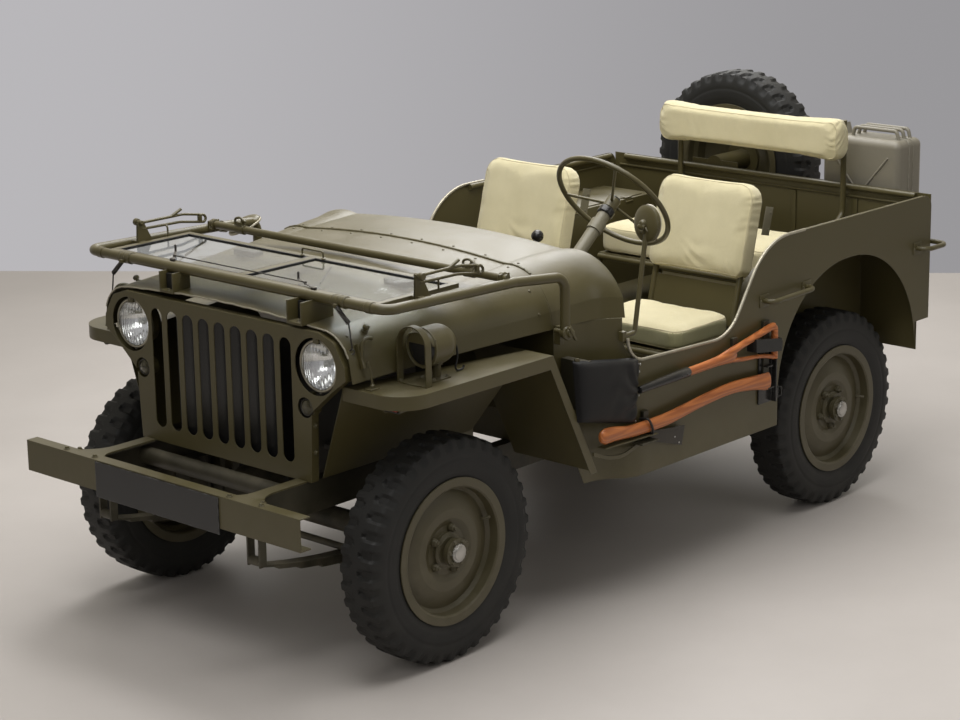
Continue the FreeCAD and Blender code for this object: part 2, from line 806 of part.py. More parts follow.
def tyre():
    """Tyre with its lugs and the notches between them, drawn round its own middle."""
    facets = int(float(dim.bead_facets))
    lugs = int(float(dim.lug_count))
    pitch = math.tau / lugs
    half = pitch * (1 - float(dim.notch_share)) / 2
    even = [math.tau * step / facets for step in range(facets)]
    edges = []
    for number in range(lugs):
        middle = number * pitch - math.pi / 2
        edges += [middle + half, middle + pitch - half]
    crown = dim.axle_height / math.cos(half)
    snug = 1 / math.cos(math.pi / facets)
    seat = dim.flange_half - 7.5
    bead = (dim.bead_radius + 0.4) * snug
    heel = (dim.flange_radius + 2) * snug
    wide = dim.tyre_half
    bulge = heel + 27
    shoulder = dim.axle_height - 20
    faces = []
    for side in (-1, 1):
        rings = [ring_points(side * across, radius, even)
                 for across, radius in ((seat, bead), (seat, heel), (wide, bulge))]
        outer = ring_points(side * wide, shoulder, edges)
        for inner_ring, outer_ring in ((rings[0], rings[1]), (rings[2], outer)):
            wires = [Part.makePolygon(ring + ring[:1]) for ring in (outer_ring, inner_ring)]
            faces.append(Part.makeFace(wires, "Part::FaceMakerCheese"))
        for step in range(facets):
            after = (step + 1) % facets
            faces.append(polygon_face([rings[1][step], rings[1][after], rings[2][after], rings[2][step]]))
        tips = ring_points(side * dim.tread_half, crown, edges)
        rib = ring_points(side * dim.rib_half, crown, edges)
        floor = ring_points(side * dim.rib_half, dim.axle_height - dim.notch_depth, edges)
        for start in range(0, 2 * lugs, 2):
            end, after = start + 1, (start + 2) % (2 * lugs)
            faces.append(polygon_face([outer[start], outer[end], floor[end], floor[start]]))
            faces.append(polygon_face([floor[start], floor[end], rib[end], rib[start]]))
            faces.append(polygon_face([outer[end], outer[after], tips[after], tips[end]]))
            for wall in (start, end):
                faces.append(polygon_face([outer[wall], tips[wall], rib[wall], floor[wall]]))
    left, right = (ring_points(side * seat, bead, even) for side in (1, -1))
    for step in range(facets):
        after = (step + 1) % facets
        faces.append(polygon_face([left[step], left[after], right[after], right[step]]))
    tips = [ring_points(side * dim.tread_half, crown, edges) for side in (1, -1)]
    rib = [ring_points(side * dim.rib_half, crown, edges) for side in (1, -1)]
    for start in range(0, 2 * lugs, 2):
        end, after = start + 1, (start + 2) % (2 * lugs)
        faces.append(polygon_face([rib[0][start], rib[0][end], rib[1][end], rib[1][start]]))
        faces.append(polygon_face([tips[0][end], tips[0][after], rib[0][after], rib[1][after],
                                   tips[1][after], tips[1][end], rib[1][end], rib[0][end]]))
    shell = Part.makeShell(faces)
    shell.sewShape()
    solid = Part.Solid(shell)
    if solid.Volume < 0:
        solid.reverse()
    return drawn(solid)


disc = wheel_disc()
road_rim = fused(disc, hub_and_drum())
tyre_form = tyre()
HALF_TURN = Rotation(Vector(0, 0, 1), 180)
WHEEL_PLACES = {
    "front_left": (as_size(0), dim.track_half, Rotation()),
    "front_right": (as_size(0), -dim.track_half, HALF_TURN),
    "rear_left": (rear_axle, dim.track_half, Rotation()),
    "rear_right": (rear_axle, -dim.track_half, HALF_TURN),
}
for corner_name, (wheel_x, wheel_y, wheel_turn) in WHEEL_PLACES.items():
    for kind, form in (("rim", road_rim), ("tyre", tyre_form)):
        placed = place(grouped(form), wheel_x, wheel_y, dim.axle_height, turn=wheel_turn)
        node(f"{kind}_{corner_name}", placed)

spare_x = -(dim.rear_reach - dim.tyre_half)
TO_REAR = Rotation(Vector(0, 0, 1), 90)
for kind, form in (("rim", disc), ("tyre", tyre_form)):
    placed = place(grouped(form), spare_x, -dim.spare_side, dim.spare_height, turn=TO_REAR)
    node(f"spare_{kind}", placed)


# Engine, drive line, exhaust and tank
def powertrain():
    """Engine as one plain block with its sump, clutch housing, gearbox and transfer case."""
    return fused(
        block((-400, 110), (-150, 150), (520, 900)),
        block((-390, -130), (-70, 110), (425, 521)),
        rod("x", (-515, 0, 600), 116, 140),
        block((-800, -514), (-80, 80), (480, 620)),
        block((-970, -799), (-260, 80), (432, 497)),
        block((-40, 20), (-360, 360), (dim.rail_high + dim.rail_height,
                                       dim.rail_high + dim.rail_height + 12)),
    )


def bar(start, end, radius):
    """Straight round bar between two points."""
    return drawn(Part.makeCylinder(float(radius), (end - start).Length, start, end - start))


def propshafts():
    """Shafts from the transfer case to both axles, each with its joints."""
    shafts = []
    height = float(dim.axle_height)
    side = -float(dim.casing_side)
    nose = 205
    flange = 14
    lines = [
        (Vector(-799, side, 462), Vector(-nose, side, height + 4), 1),
        (Vector(-970, side, 462), Vector(float(rear_axle) + nose, side, height + 4), -1),
    ]
    for first, last, sense in lines:
        start = first + Vector(sense * 8, 0, 0)
        end = last - Vector(sense * 8, 0, 0)
        along = (end - start).normalize()
        shaft = Part.makeCylinder(21, (end - start).Length, start, along)
        joints = [Part.makeCylinder(28, 55, start, along),
                  Part.makeCylinder(28, 55, end, -along),
                  Part.makeCylinder(36, flange, first, Vector(sense, 0, 0)),
                  Part.makeCylinder(36, flange, last, Vector(-sense, 0, 0))]
        shafts.append(drawn(shaft.fuse(joints).removeSplitter()))
    return grouped(*shafts)


def exhaust():
    """Down pipe, silencer under the right-hand floor and tail pipe."""
    inlet = pipe([Vector(-300, -150.4, 640), Vector(-300, -225, 640), Vector(-340, -240, 520),
                  Vector(-560, -262, 374),
                  Vector(-740, -300, 374), Vector(-800, -470, 374), Vector(-880, -520, 452),
                  Vector(-960, -520, 452)], 19, 40)
    silencer = rod("x", (-1350, -520, 447.5), 430, 52)
    tail = pipe([Vector(-1330, -520, 440), Vector(-1440, -520, 440), Vector(-1520, -560, 400)],
                17, 60)
    return fused(inlet, silencer, tail)


node("powertrain", powertrain())
node("radiator", block((215, dim.grille_face - dim.grille_depth - 0.3), (-235, 235), (dim.grille_low, 1030)))
node("propshafts", propshafts())
node("exhaust", exhaust())
node("fuel_tank", rounded(block((-1560, -1230), (390, 690), (430, 499.5)), 15,
                          lambda edge: abs(edge.tangentAt(0).z) > 0.9))


# Grille and lamps
def grille():
    """Stamped panel with nine upright slots, two lamp openings and a flange to the rear."""
    body = new_body()
    low = dim.grille_low
    half = [
        (390, low), (400, 810, 30), (500, 895), (548, 930), (545, 970, 18),
        (503, 1040, 30), (440, 1061),
    ]
    sketch = new_sketch(body, "yz", dim.grille_face - dim.grille_depth)
    outline(sketch, both_sides(half))
    pad(body, sketch, dim.grille_depth)
    wall = 3
    inner_half = [
        (390 - wall, low + wall), (400 - wall, 811, 27), (499, 895 + wall), (548 - wall, 932),
        (545 - wall, 969, 15), (501, 1038, 27), (440, 1061 - wall),
    ]
    hollow = new_sketch(body, "yz", dim.grille_face - dim.grille_depth)
    outline(hollow, both_sides(inner_half))
    pocket(body, hollow, dim.grille_depth - wall, reverse=True)
    first = new_sketch(body, "yz", dim.grille_face)
    middle = -4 * dim.slot_pitch
    round_end = dim.slot_width / 2 - 0.5
    outline(first, [
        (middle - dim.slot_width / 2, dim.slot_low, round_end),
        (middle + dim.slot_width / 2, dim.slot_low, round_end),
        (middle + dim.slot_width / 2, dim.slot_high - 14, round_end),
        (middle - dim.slot_width / 2, dim.slot_high - 14, round_end),
    ])
    slot = pocket(body, first, 10)
    doc.recompute()
    row = body.newObject("PartDesign::LinearPattern", "SlotRow")
    row.Originals = [slot]
    row.Direction = (first, ["H_Axis"])
    bind(row, "Length", 8 * dim.slot_pitch)
    row.Occurrences = 9
    body.Tip = row
    doc.recompute()
    holes = []
    for side in (-1, 1):
        holes.append(rod("x", (dim.grille_face - 10, side * dim.lamp_side, dim.lamp_height),
                         20, dim.lamp_hole))
        holes.append(rod("x", (dim.grille_face - 10, side * dim.marker_side, marker_height),
                         20, dim.marker_radius + 5))
    feet = [block((dim.grille_face - dim.grille_depth, dim.grille_face - 4), (at - 18, at + 18),
                  (dim.rail_high + dim.rail_height, low + 2)) for at in (-350, 350)]
    return cut(fused(body, *feet), *holes)


def headlamp(side):
    """Lamp bowl with its front glass and the arm that holds it to the grille."""
    at = side * dim.lamp_side
    rim = dim.lamp_radius
    arm = block((dim.grille_face - 80, dim.grille_face - 3), (at - 12, at + 12),
                (dim.lamp_height + rim - 8, dim.lamp_height + rim - 2))
    bowl = rod("x", (dim.grille_face - 95, at, dim.lamp_height), 76, rim)
    tab = block((dim.grille_face - 9, dim.grille_face - 3), (at - 12, at + 12),
                (dim.lamp_height + rim - 8, dim.lamp_height + dim.lamp_hole + 8))
    return fused(bowl, arm, tab)


def marker_lamp(side):
    """Small round lamp behind its hole in the grille."""
    at = side * dim.marker_side
    arm = block((dim.grille_face - 40, dim.grille_face - 3), (at - 8, at + 8),
                (marker_height + 18, marker_height + 42))
    bowl = rod("x", (dim.grille_face - 45, at, marker_height), 36, dim.marker_radius)
    return cut(fused(bowl, arm), block((dim.grille_face - 9.5, dim.grille_face), (at - 9, at + 9),
                                       (marker_height, marker_height + 33)))


def blackout_lamp():
    """Shielded driving lamp with its guard hoop on the left fender."""
    base = dim.fender_top
    side, height, radius = 648, base + 105, 60
    lamp = drawn(Part.makeSphere(radius).fuse(
        Part.makeCylinder(radius, 62, Vector(0, 0, 0), Vector(1, 0, 0))))
    lamp = place(lamp, 20, side, height)
    stem = rod("z", (20, side, base), 60, 12)
    foot = block((-8, 132), (side - 32, side + 32), (base, base + 4))
    low, high, top = side - 60, side + 60, height + radius + 12
    gauge = 4
    hoop = cut(
        slab("yz", [(low, base), (low, top, 59), (high, top, 59), (high, base)], 104, 24),
        slab("yz", [(low + gauge, base - 5), (low + gauge, top - gauge, 55),
                    (high - gauge, top - gauge, 55), (high - gauge, base - 5)], 100, 32))
    bar_across = block((104, 128), (low, high), (base, base + 4))
    return fused(lamp, stem, foot, hoop, bar_across)


def under_lamp(side):
    """Small lamp that hangs under the front of a fender."""
    at = side * 640
    return fused(block((150, 215), (at - 40, at + 40), (dim.fender_top - 62, dim.fender_top - 12)),
                 block((170, 190), (at - 10, at + 10), (dim.fender_top - 14, dim.fender_top - 2)))


def tail_lamp(side):
    """Round lamp on the tub's rear."""
    at = side * 640
    return rod("x", (-dim.body_rear - 38, at, 700), 38, 36)


node("grille", grille())
node("headlamps", grouped(headlamp(1), headlamp(-1)))
node("small_lamps", grouped(marker_lamp(1), marker_lamp(-1), under_lamp(1), under_lamp(-1),
                            tail_lamp(1), tail_lamp(-1)))
node("blackout_lamp", blackout_lamp())


# Hood and cowl
lean = math.radians(float(dim.column_angle))
column_along = Vector(math.cos(lean), 0, -math.sin(lean))
wheel_hub = point(-dim.hub_back, dim.driver_side, dim.hub_height)

# Each station: place along the car, lower edge, side top, shoulder middle, crown edge and crown.
def section_wire(station, inset, drop):
    """Closed section across the car at one station, drawn in by inset."""
    x, foot, side, shoulder, edge, crown = station
    inward = [(foot[0] - inset, foot[1] - drop), (side[0] - inset, side[1]),
              (shoulder[0] - inset * 0.75, shoulder[1] - inset * 0.7),
              (edge[0], edge[1] - inset), (0, crown - inset)]
    right = [Vector(x, y, z) for y, z in inward]
    left = [Vector(x, -y, z) for y, z in inward]
    edges = [
        Part.LineSegment(left[0], right[0]).toShape(),
        Part.LineSegment(right[0], right[1]).toShape(),
        Part.Arc(right[1], right[2], right[3]).toShape(),
        Part.Arc(right[3], right[4], left[3]).toShape(),
        Part.Arc(left[3], left[2], left[1]).toShape(),
        Part.LineSegment(left[1], left[0]).toShape(),
    ]
    return Part.Wire(edges)


def lofted(stations, inset, drop):
    """Solid through the sections of several stations."""
    return Part.makeLoft([section_wire(station, inset, drop) for station in stations], True, False)


def carried_on(station, other, x):
    """The station at x on the line through two others."""
    share = (x - station[0]) / (other[0] - station[0])

    def blend(first, second):
        return first + (second - first) * share

    result = [x]
    for one, two in zip(station[1:5], other[1:5]):
        result.append(tuple(blend(first, second) for first, second in zip(one, two)))
    result.append(blend(station[5], other[5]))
    return tuple(result)


seam = float(dim.seam_height)
near, out = float(dim.cowl_half), float(dim.body_half)
HOOD_STATIONS = [
    (float(dim.hood_front), (near - 88, 922), (near - 99, 976), (near - 122, 1030), (450, 1070), 1090),
    (-100.0, (near - 53, 936), (near - 64, 985), (near - 92, 1045), (452, 1095), 1118),
    (-float(dim.hood_rear), (near, seam + 1), (near - 9, 1000), (near - 49, 1073), (452, 1127), 1152),
]
COWL_STATIONS = [
    (-500.5, (near, seam), (near - 9, 1000), (near - 49, 1073), (452, 1127), 1152),
    (-555.0, (near + 4, seam), (near - 5, 1004), (near - 45, 1077), (452, 1131), 1155.5),
    (-610.0, (near + 8, seam), (near - 0.5, 1008), (near - 40, 1081), (452, 1134), 1158),
    (-655.0, (near + 13, seam), (near + 5, 1010), (near - 34, 1083), (454, 1135), 1158.5),
    (-700.0, (out - 72, seam), (out - 80, 1012), (out - 118, 1086), (458, 1136), 1158),
    (-735.0, (out - 48, seam), (out - 56, 1012), (out - 98, 1085), (463, 1136), 1157.5),
    (-float(dim.cowl_rear), (out - 20, seam), (out - 28, 1010), (out - 78, 1082), (470, 1134), 1156),
]


def shell(stations, wall):
    """Open shell: the outer form less the inner one, which runs past its ends and below."""
    inner = list(stations)
    inner[0] = carried_on(stations[0], stations[1], stations[0][0] + 5)
    inner[-1] = carried_on(stations[-1], stations[-2], stations[-1][0] - 5)
    return drawn(lofted(stations, 0, 0)), drawn(lofted(inner, wall, 10))


def hood():
    """Hood panel."""
    outer, inner = shell(HOOD_STATIONS, float(dim.sheet_metal))
    return cut(outer, inner)


def cowl():
    """Cowl panel with the firewall and the instrument panel."""
    wall = float(dim.sheet_metal)
    outer, inner = shell(COWL_STATIONS, wall)
    within = drawn(lofted(COWL_STATIONS, wall / 2, 0))
    at = dim.firewall_at
    firewall_top = shared(within, block((-at, -at + dim.sheet_metal), (-700, 700), (seam, 1200)))
    firewall = block((-at, -at + dim.sheet_metal), (-648, 648), (640, seam + 2))
    panel_at = dim.cowl_rear - 12
    panel = shared(drawn(lofted(COWL_STATIONS, wall / 2, 0)),
                   block((-panel_at, -panel_at + dim.sheet_metal), (-740, 740), (seam + 4, 1200)))
    passage = drawn(Part.makeCylinder(float(dim.column_radius) + 4, 1000, wheel_hub, column_along))
    return fused(cut(outer, inner), firewall_top, cut(firewall, passage), panel)


node("hood", hood())
node("cowl", cowl())


# Fenders
def fender():
    """Left front fender: flat top with a lip, rear apron and inner wall."""
    metal = dim.sheet_metal
    out, front, rear = dim.body_half, dim.fender_front, -dim.fender_rear
    top = new_body()
    sketch = new_sketch(top, "xy", dim.fender_top - dim.fender_lip)
    outline(sketch, [(rear, 640), (rear, out), (front, out, dim.fender_corner), (front, 500)])
    pad(top, sketch, dim.fender_lip)
    under = new_sketch(top, "xy", dim.fender_top - dim.fender_lip)
    outline(under, [(rear - 5, 600), (rear - 5, out - metal),
                    (front - metal, out - metal, dim.fender_corner - metal),
                    (front - metal, 460)])
    pocket(top, under, dim.fender_lip - metal, reverse=True)
    foot, low = -dim.apron_foot, dim.apron_low
    high = dim.fender_top
    apron = slab("xz", [(rear, high), (rear + 2.4, high), (foot + 2.4, low), (foot, low)],
                 400, out - 400)
    lip = slab("xz", [(rear, high - 1), (rear + 32, high - 1), (foot + 32, low), (foot, low)],
               out - metal, metal)
    wall_at = -dim.firewall_at + metal
    tie = slab("xz", [(wall_at, 690), (wall_at, 760), (-459, 760), (-493, 690)], 560, 80)
    return fused(top, apron, lip, tie, inner_wall())


def inner_wall():
    """Sloping wall between the hood's side and the frame rail."""
    high, low = float(dim.fender_top) - 1, float(dim.rail_high) + 110
    sections = []
    for x, upper in ((float(dim.fender_front) - 4, 503), (-float(dim.fender_rear), 642)):
        corners = [Vector(x, upper, high), Vector(x, upper - 2, high),
                   Vector(x, 398, low), Vector(x, 400, low)]
        sections.append(Part.makePolygon(corners + corners[:1]))
    return drawn(Part.makeLoft(sections, True, True))


left_fender = fender()
node("fender_left", left_fender)
node("fender_right", mirrored(left_fender))


# Tub
near, out = float(dim.cowl_half), float(dim.body_half)
PLAN_STATIONS = [(-504, near), (-600, near + 7), (-680, near + 16), (-728, out - 53),
                 (-764, out - 20), (-800, out - 4)]


def plan_strip():
    """Wall seen from above: it runs in towards the cowl ahead of the door."""
    out = float(dim.body_half)
    rear = -float(dim.body_rear)
    wall = float(dim.sheet_metal)
    height = 1000
    curve_points = [Vector(x, y, 200) for x, y in PLAN_STATIONS] + [Vector(-850, out, 200)]
    faces = []
    for shift in (0, -wall):
        shifted = [corner + Vector(0, shift, 0) for corner in curve_points]
        curve = Part.BSplineCurve()
        curve.interpolate(Points=shifted, InitialTangent=(shifted[1] - shifted[0]).normalize(),
                          FinalTangent=Vector(-1, 0, 0))
        faces.append((curve.toShape(), shifted))
    outer, inner = faces[0], faces[1]
    back_out, back_in = Vector(rear, out, 200), Vector(rear, out - wall, 200)
    edges = [
        outer[0],
        Part.LineSegment(outer[1][-1], back_out).toShape(),
        Part.LineSegment(back_out, back_in).toShape(),
        Part.LineSegment(back_in, inner[1][-1]).toShape(),
        inner[0],
        Part.LineSegment(inner[1][0], outer[1][0]).toShape(),
    ]
    wire = Part.Wire(Part.__sortEdges__(edges))
    return drawn(Part.Face(wire).extrude(Vector(0, 0, height)))


def side_panel():
    """Left side of the tub with its door cut and wheel arch."""
    top, low = dim.rail_top, dim.door_low
    shape = slab("xz", [
        (-504, seam - 0.3), (-504, 700), (-636, dim.sill_low), (-dim.arch_front, dim.sill_low),
        (-dim.arch_front, dim.arch_top, dim.arch_round),
        (-dim.arch_rear, dim.arch_top, dim.arch_round),
        (-dim.arch_rear, dim.tub_rear_low),
        (-dim.body_rear, dim.tub_rear_low), (-dim.body_rear, top, 45),
        (-dim.door_fall, top, 250), (-dim.door_foot, low, 154), (-dim.door_front, low + 21, 84),
        (-dim.door_front, seam - 0.3),
    ], 600, 200)
    skin = shared(plan_strip(), shape)
    edge = dim.edge_radius
    at = float(dim.body_half - 1 - edge)
    high = float(top - edge)
    roll = pipe([Vector(-float(dim.door_fall) - 135, at, high),
                 Vector(-float(dim.body_rear) + 46, at, high)], edge)
    pivot_x, pivot_z = -dim.pivot_back, dim.pivot_height
    near = dim.cowl_half
    bracket = block((pivot_x - 18, pivot_x - 1), (near + 4, near + 25), (pivot_z - 45, pivot_z + 14))
    pad_plate = block((pivot_x - 18, pivot_x - 1), (near - 1.5, near + 5), (pivot_z - 45, pivot_z))
    pin = rod("y", (pivot_x, near + 6, pivot_z), dim.screen_pivot_gap - 14.5, 8)
    return fused(skin, roll, bracket, pad_plate, pin)


def wheelhouse():
    """Cover over the left rear wheel, open below and towards the side."""
    metal = dim.sheet_metal
    out = dim.body_half - metal
    side, top, low = dim.house_side, dim.house_top, dim.floor_top
    rear, front, round_off = -dim.arch_rear - 15, -dim.arch_front, dim.arch_round - 30
    outer = slab("xz", [(rear, low), (front, low), (front, top, round_off), (rear, top)],
                 side, out - side)
    inner = slab("xz", [(rear + metal, low - 5), (front - metal, low - 5),
                        (front - metal, top - metal, round_off - metal), (rear + metal, top - metal)],
                 side + metal, out - side)
    return cut(outer, inner)


def tub_floor():
    """Front floor with its toe board and gearbox cover, and the higher rear floor."""
    metal = dim.sheet_metal
    top = dim.floor_top
    out = dim.body_half - metal - 0.5
    rear = -dim.body_rear + metal
    gap = 1
    house = dim.house_side - gap
    arch_b = -dim.arch_rear - 15 - gap
    step = -dim.floor_step
    front_half = [(step, out), (-860, out), (-770, out - 24), (-690, out - 84), (-618, out - 90)]
    rear_half = [(rear, out), (arch_b, out), (arch_b, house), (step, house)]
    plate = slab("xy", front_half + [(x, -y) for x, y in reversed(front_half)], top - metal, metal)
    rear_top = dim.rear_floor_top
    rear_plate = slab("xy", rear_half + [(x, -y) for x, y in reversed(rear_half)],
                      rear_top - metal, metal)
    riser = block((step, step + metal), (-house, house), (top - metal, rear_top))
    hole = block((-1000, -560), (-118, 118), (top - 20, top + 20))
    tunnel = cut(block((-1002, -558), (-120, 120), (top - metal, 640)),
                 block((-1000, -550), (-118, 118), (top - 5, 638)))
    at = dim.firewall_at
    toe = slab("xz", [(-618, top - 2), (-618, top), (-at - 2, 641), (-at, 641), (-at, 638)],
               -648, 1296)
    toe = cut(toe, block((-700, -500), (-118, 118), (top - 20, 638)))
    return fused(cut(plate, hole), rear_plate, riser, tunnel, toe)


def rear_panel():
    """Rear wall of the tub with the spare wheel's carrier and the can's tray."""
    metal = dim.sheet_metal
    rear = -dim.body_rear
    out = dim.body_half - metal
    wall = block((rear, rear + metal), (-out, out), (dim.tub_rear_low, dim.rail_top))
    edge = dim.edge_radius
    roll = rod("y", (rear + metal + edge - 1, -out + 60, dim.rail_top - edge), 2 * out - 120, edge)
    plate_x = spare_x - dim.disc_offset + dim.rim_gauge
    carrier = rod("x", (plate_x, -dim.spare_side, dim.spare_height), rear - plate_x + 1, 38)
    carrier_flange = rod("x", (plate_x, -dim.spare_side, dim.spare_height), 8, 74)
    carrier_plate = block((rear - 6, rear), (-dim.spare_side - 110, -dim.spare_side + 110),
                          (dim.rail_top - 200, dim.rail_top + 20))
    low, far = dim.can_low, dim.can_front + dim.can_thick
    left, right = dim.can_side - dim.can_width / 2, dim.can_side + dim.can_width / 2
    tray = block((-far, rear), (left, right), (low - 6, low - 0.3))
    posts = [block((-dim.can_front + 0.3, rear), (at - 15, at + 15), (low - 6, low + 240))
             for at in (left + 50, right - 50)]
    return fused(wall, roll, carrier, carrier_flange, carrier_plate, tray, *posts)


def grab_handles():
    """Bars on the tub's sides and round its rear corners."""
    out, face, tube = handle_out, dim.body_half, dim.handle_tube
    rear = -dim.body_rear
    side = pipe([point(-1485, face, 868), point(-1485, out - 6, 868),
                 point(-1731, out - 6, 872), point(-1731, face, 872)], tube, 28)
    corner = pipe([point(-2430, face, 888), point(-2430, out, 888),
                   point(rear - 46, out, 888), point(rear - 46, 690, 888),
                   point(rear, 690, 888)], tube, 36)
    return grouped(side, mirrored(side), corner, mirrored(corner))


left_side = side_panel()
node("side_left", left_side)
node("side_right", mirrored(left_side))
left_house = wheelhouse()
node("wheelhouses", grouped(left_house, mirrored(left_house)))
node("tub_floor", tub_floor())
node("rear_panel", rear_panel())
node("grab_handles", grab_handles())


# Windscreen, folded forward on the hood
def windscreen_frame():
    """Outer tube with its pivot arms, the lower bar and the frame round both panes."""
    tube = dim.screen_tube
    half, pivot_half = dim.screen_half, screen_pivot_half
    front, high = dim.screen_front, dim.screen_front_height
    back, foot = -dim.pivot_back, dim.pivot_height
    arms = []
    for sign in (1, -1):
        arms.append([point(back, sign * pivot_half, foot + 11), point(back, sign * pivot_half, 1121),
                     point(-300, sign * half, high - 16), point(front, sign * half, high)])
    path = arms[0] + list(reversed(arms[1]))
    loop = pipe(path, tube, 42)
    bar_height = dim.screen_bar_height
    lower = rod("y", (-dim.screen_bar, -half, bar_height), 2 * half, 13)
    pivots = []
    for sign in (1, -1):
        start = pivot_half - 8 if sign > 0 else -(pivot_half + 8)
        pivots.append(rod("y", (back, start, foot), 16, 19))
    pane_front, pane_rear, pane_half = dim.pane_front, -dim.pane_rear, dim.pane_half
    level = high - 2
    border = 22
    rim = cut(block((pane_rear, pane_front), (-pane_half, pane_half), (level - 7, level + 7)),
              block((pane_rear + border, pane_front - border), (-pane_half + border, -14),
                    (level - 20, level + 20)),
              block((pane_rear + border, pane_front - border), (14, pane_half - border),
                    (level - 20, level + 20)))
    hinge = rod("y", (dim.screen_front - 21, -pane_half + 60, level), 2 * pane_half - 120, 8)
    catches = []
    for side in (-1, 1):
        at = side * (pane_half - 8)
        start, end = (at, half) if side > 0 else (-half, at)
        catches.append(block((62, 84), (start, end), (level - 6, level + 6)))
        stand = side * (pane_half + 18)
        catches.append(block((62, 84), (stand - 3, stand + 3), (level - 6, level + 72)))
        catches.append(pipe([point(73, stand, level + 66), point(-60, stand, level + 66),
                             point(-104, stand, level + 84)], 5, 20))
    return fused(loop, lower, rim, hinge, *pivots, *catches)


def windscreen_glass():
    """The two panes."""
    border = 22
    level = dim.screen_front_height - 2
    panes = []
    for low, high in ((-dim.pane_half + border, -14), (14, dim.pane_half - border)):
        panes.append(block((-dim.pane_rear + border, dim.pane_front - border), (low, high),
                           (level - dim.pane_gauge / 2, level + dim.pane_gauge / 2)))
    return grouped(*panes)


node("windscreen_frame", windscreen_frame())
node("windscreen_glass", windscreen_glass())


# Steering column and wheel, mirror and controls
def steering_column():
    """Column from the wheel, clamped to the instrument panel, to the steering box on the rail."""
    start = wheel_hub + column_along * 34.5
    end = wheel_hub + column_along * 1020
    column = Part.makeCylinder(float(dim.column_radius), (end - start).Length, start, column_along)
    collar = Part.makeCylinder(27, 40, start + column_along * 60, column_along)
    gearbox = Part.makeBox(110, 52, 82, end + Vector(-55, -26, -31))
    column = drawn(column.fuse([collar, gearbox]).removeSplitter())
    side = dim.driver_side
    box_plate = block((-395, -330), (dim.rail_outer, dim.rail_outer + 8), (480, 560))
    panel_at = dim.cowl_rear - 12
    height = dim.hub_height - (dim.hub_back - panel_at) * math.tan(lean)
    clamp = block((-panel_at - 6, -panel_at), (side - 18, side + 18), (height, seam + 35))
    return fused(column, box_plate, clamp)


def steering_wheel():
    """Thin ring on three spokes."""
    ring_radius = float(dim.wheel_rim)
    loop = Part.makeTorus(ring_radius, float(dim.wheel_grip), wheel_hub, column_along)
    pieces = [Part.makeCylinder(24, 40, wheel_hub - column_along * 6, column_along)]
    across = Vector(0, 1, 0)
    upward = column_along.cross(across)
    for angle in (60, 180, 300):
        turn = math.radians(angle)
        tip = across * math.cos(turn) + upward * (-math.sin(turn))
        start = wheel_hub + column_along * 12
        end = wheel_hub + tip * ring_radius
        pieces.append(Part.makeCylinder(5, (end - start).Length, start, end - start))
    return drawn(loop.fuse(pieces).removeSplitter())


def mirror():
    """Round mirror on a bent arm from the tub side."""
    edge = -dim.door_front
    out = dim.body_half - 15
    arm = pipe([point(edge + 9, out, 888), point(edge - 49, out, 888),
                point(edge - 113, out, 1232)], 8, 14)
    foot = block((edge, edge + 19), (out - 10, out + 8), (872, 904))
    glass = drawn(Part.makeCylinder(60, 12, point(edge - 126, out - 2, 1232),
                                    Vector(1, -0.2, 0.1)))
    return fused(arm, foot, glass)


def controls():
    """Gear and transfer levers, hand brake and pedals."""
    pieces = [
        pipe([Vector(-870, 0, 645), Vector(-905, 0, 760), Vector(-1180, -8, 1035)], 7, 60),
        ball((-1188, -8, 1043), 21),
        pipe([Vector(-950, -60, 645), Vector(-960, -60, 700), Vector(-1060, -64, 850)], 6, 40),
        ball((-1064, -64, 856), 15),
    ]
    boots = [rod("z", (-870, 0, 640.3), 14, 17), rod("z", (-950, -60, 640.3), 12, 14)]
    levers = [fused(pieces[0], pieces[1], boots[0]), fused(pieces[2], pieces[3], boots[1])]
    for side in (290, 400):
        stalk = pipe([Vector(-576, side, 570), Vector(-640, side, 640), Vector(-700, side, 655)],
                     7, 25)
        tread = block((-716, -694), (side - 30, side + 30), (622, 682))
        levers.append(fused(stalk, tread))
    return grouped(*levers)


node("steering_column", steering_column())
node("steering_wheel", steering_wheel())
node("mirror", mirror())
node("controls", controls())


# Seats
back_slope = math.radians(float(dim.back_lean))
back_rise = dim.back_lift + dim.back_height - 60
seat_tube_gap = dim.seat_half - 40


def ahead(side):
    """How far a seat on this side of the car stands ahead of the driver's."""
    return float(dim.passenger_ahead) if float(side) < 0 else 0.0


def on_back(side, rise):
    """Point on the middle line of a seat back's tube at a height above the seat cushion."""
    level = float(dim.seat_low + rise)
    start = float(dim.seat_low - dim.seat_tube - 4)
    x = -float(dim.seat_front + dim.seat_length) - (level - start) * math.tan(back_slope) + ahead(side)
    return point(x, side, level)


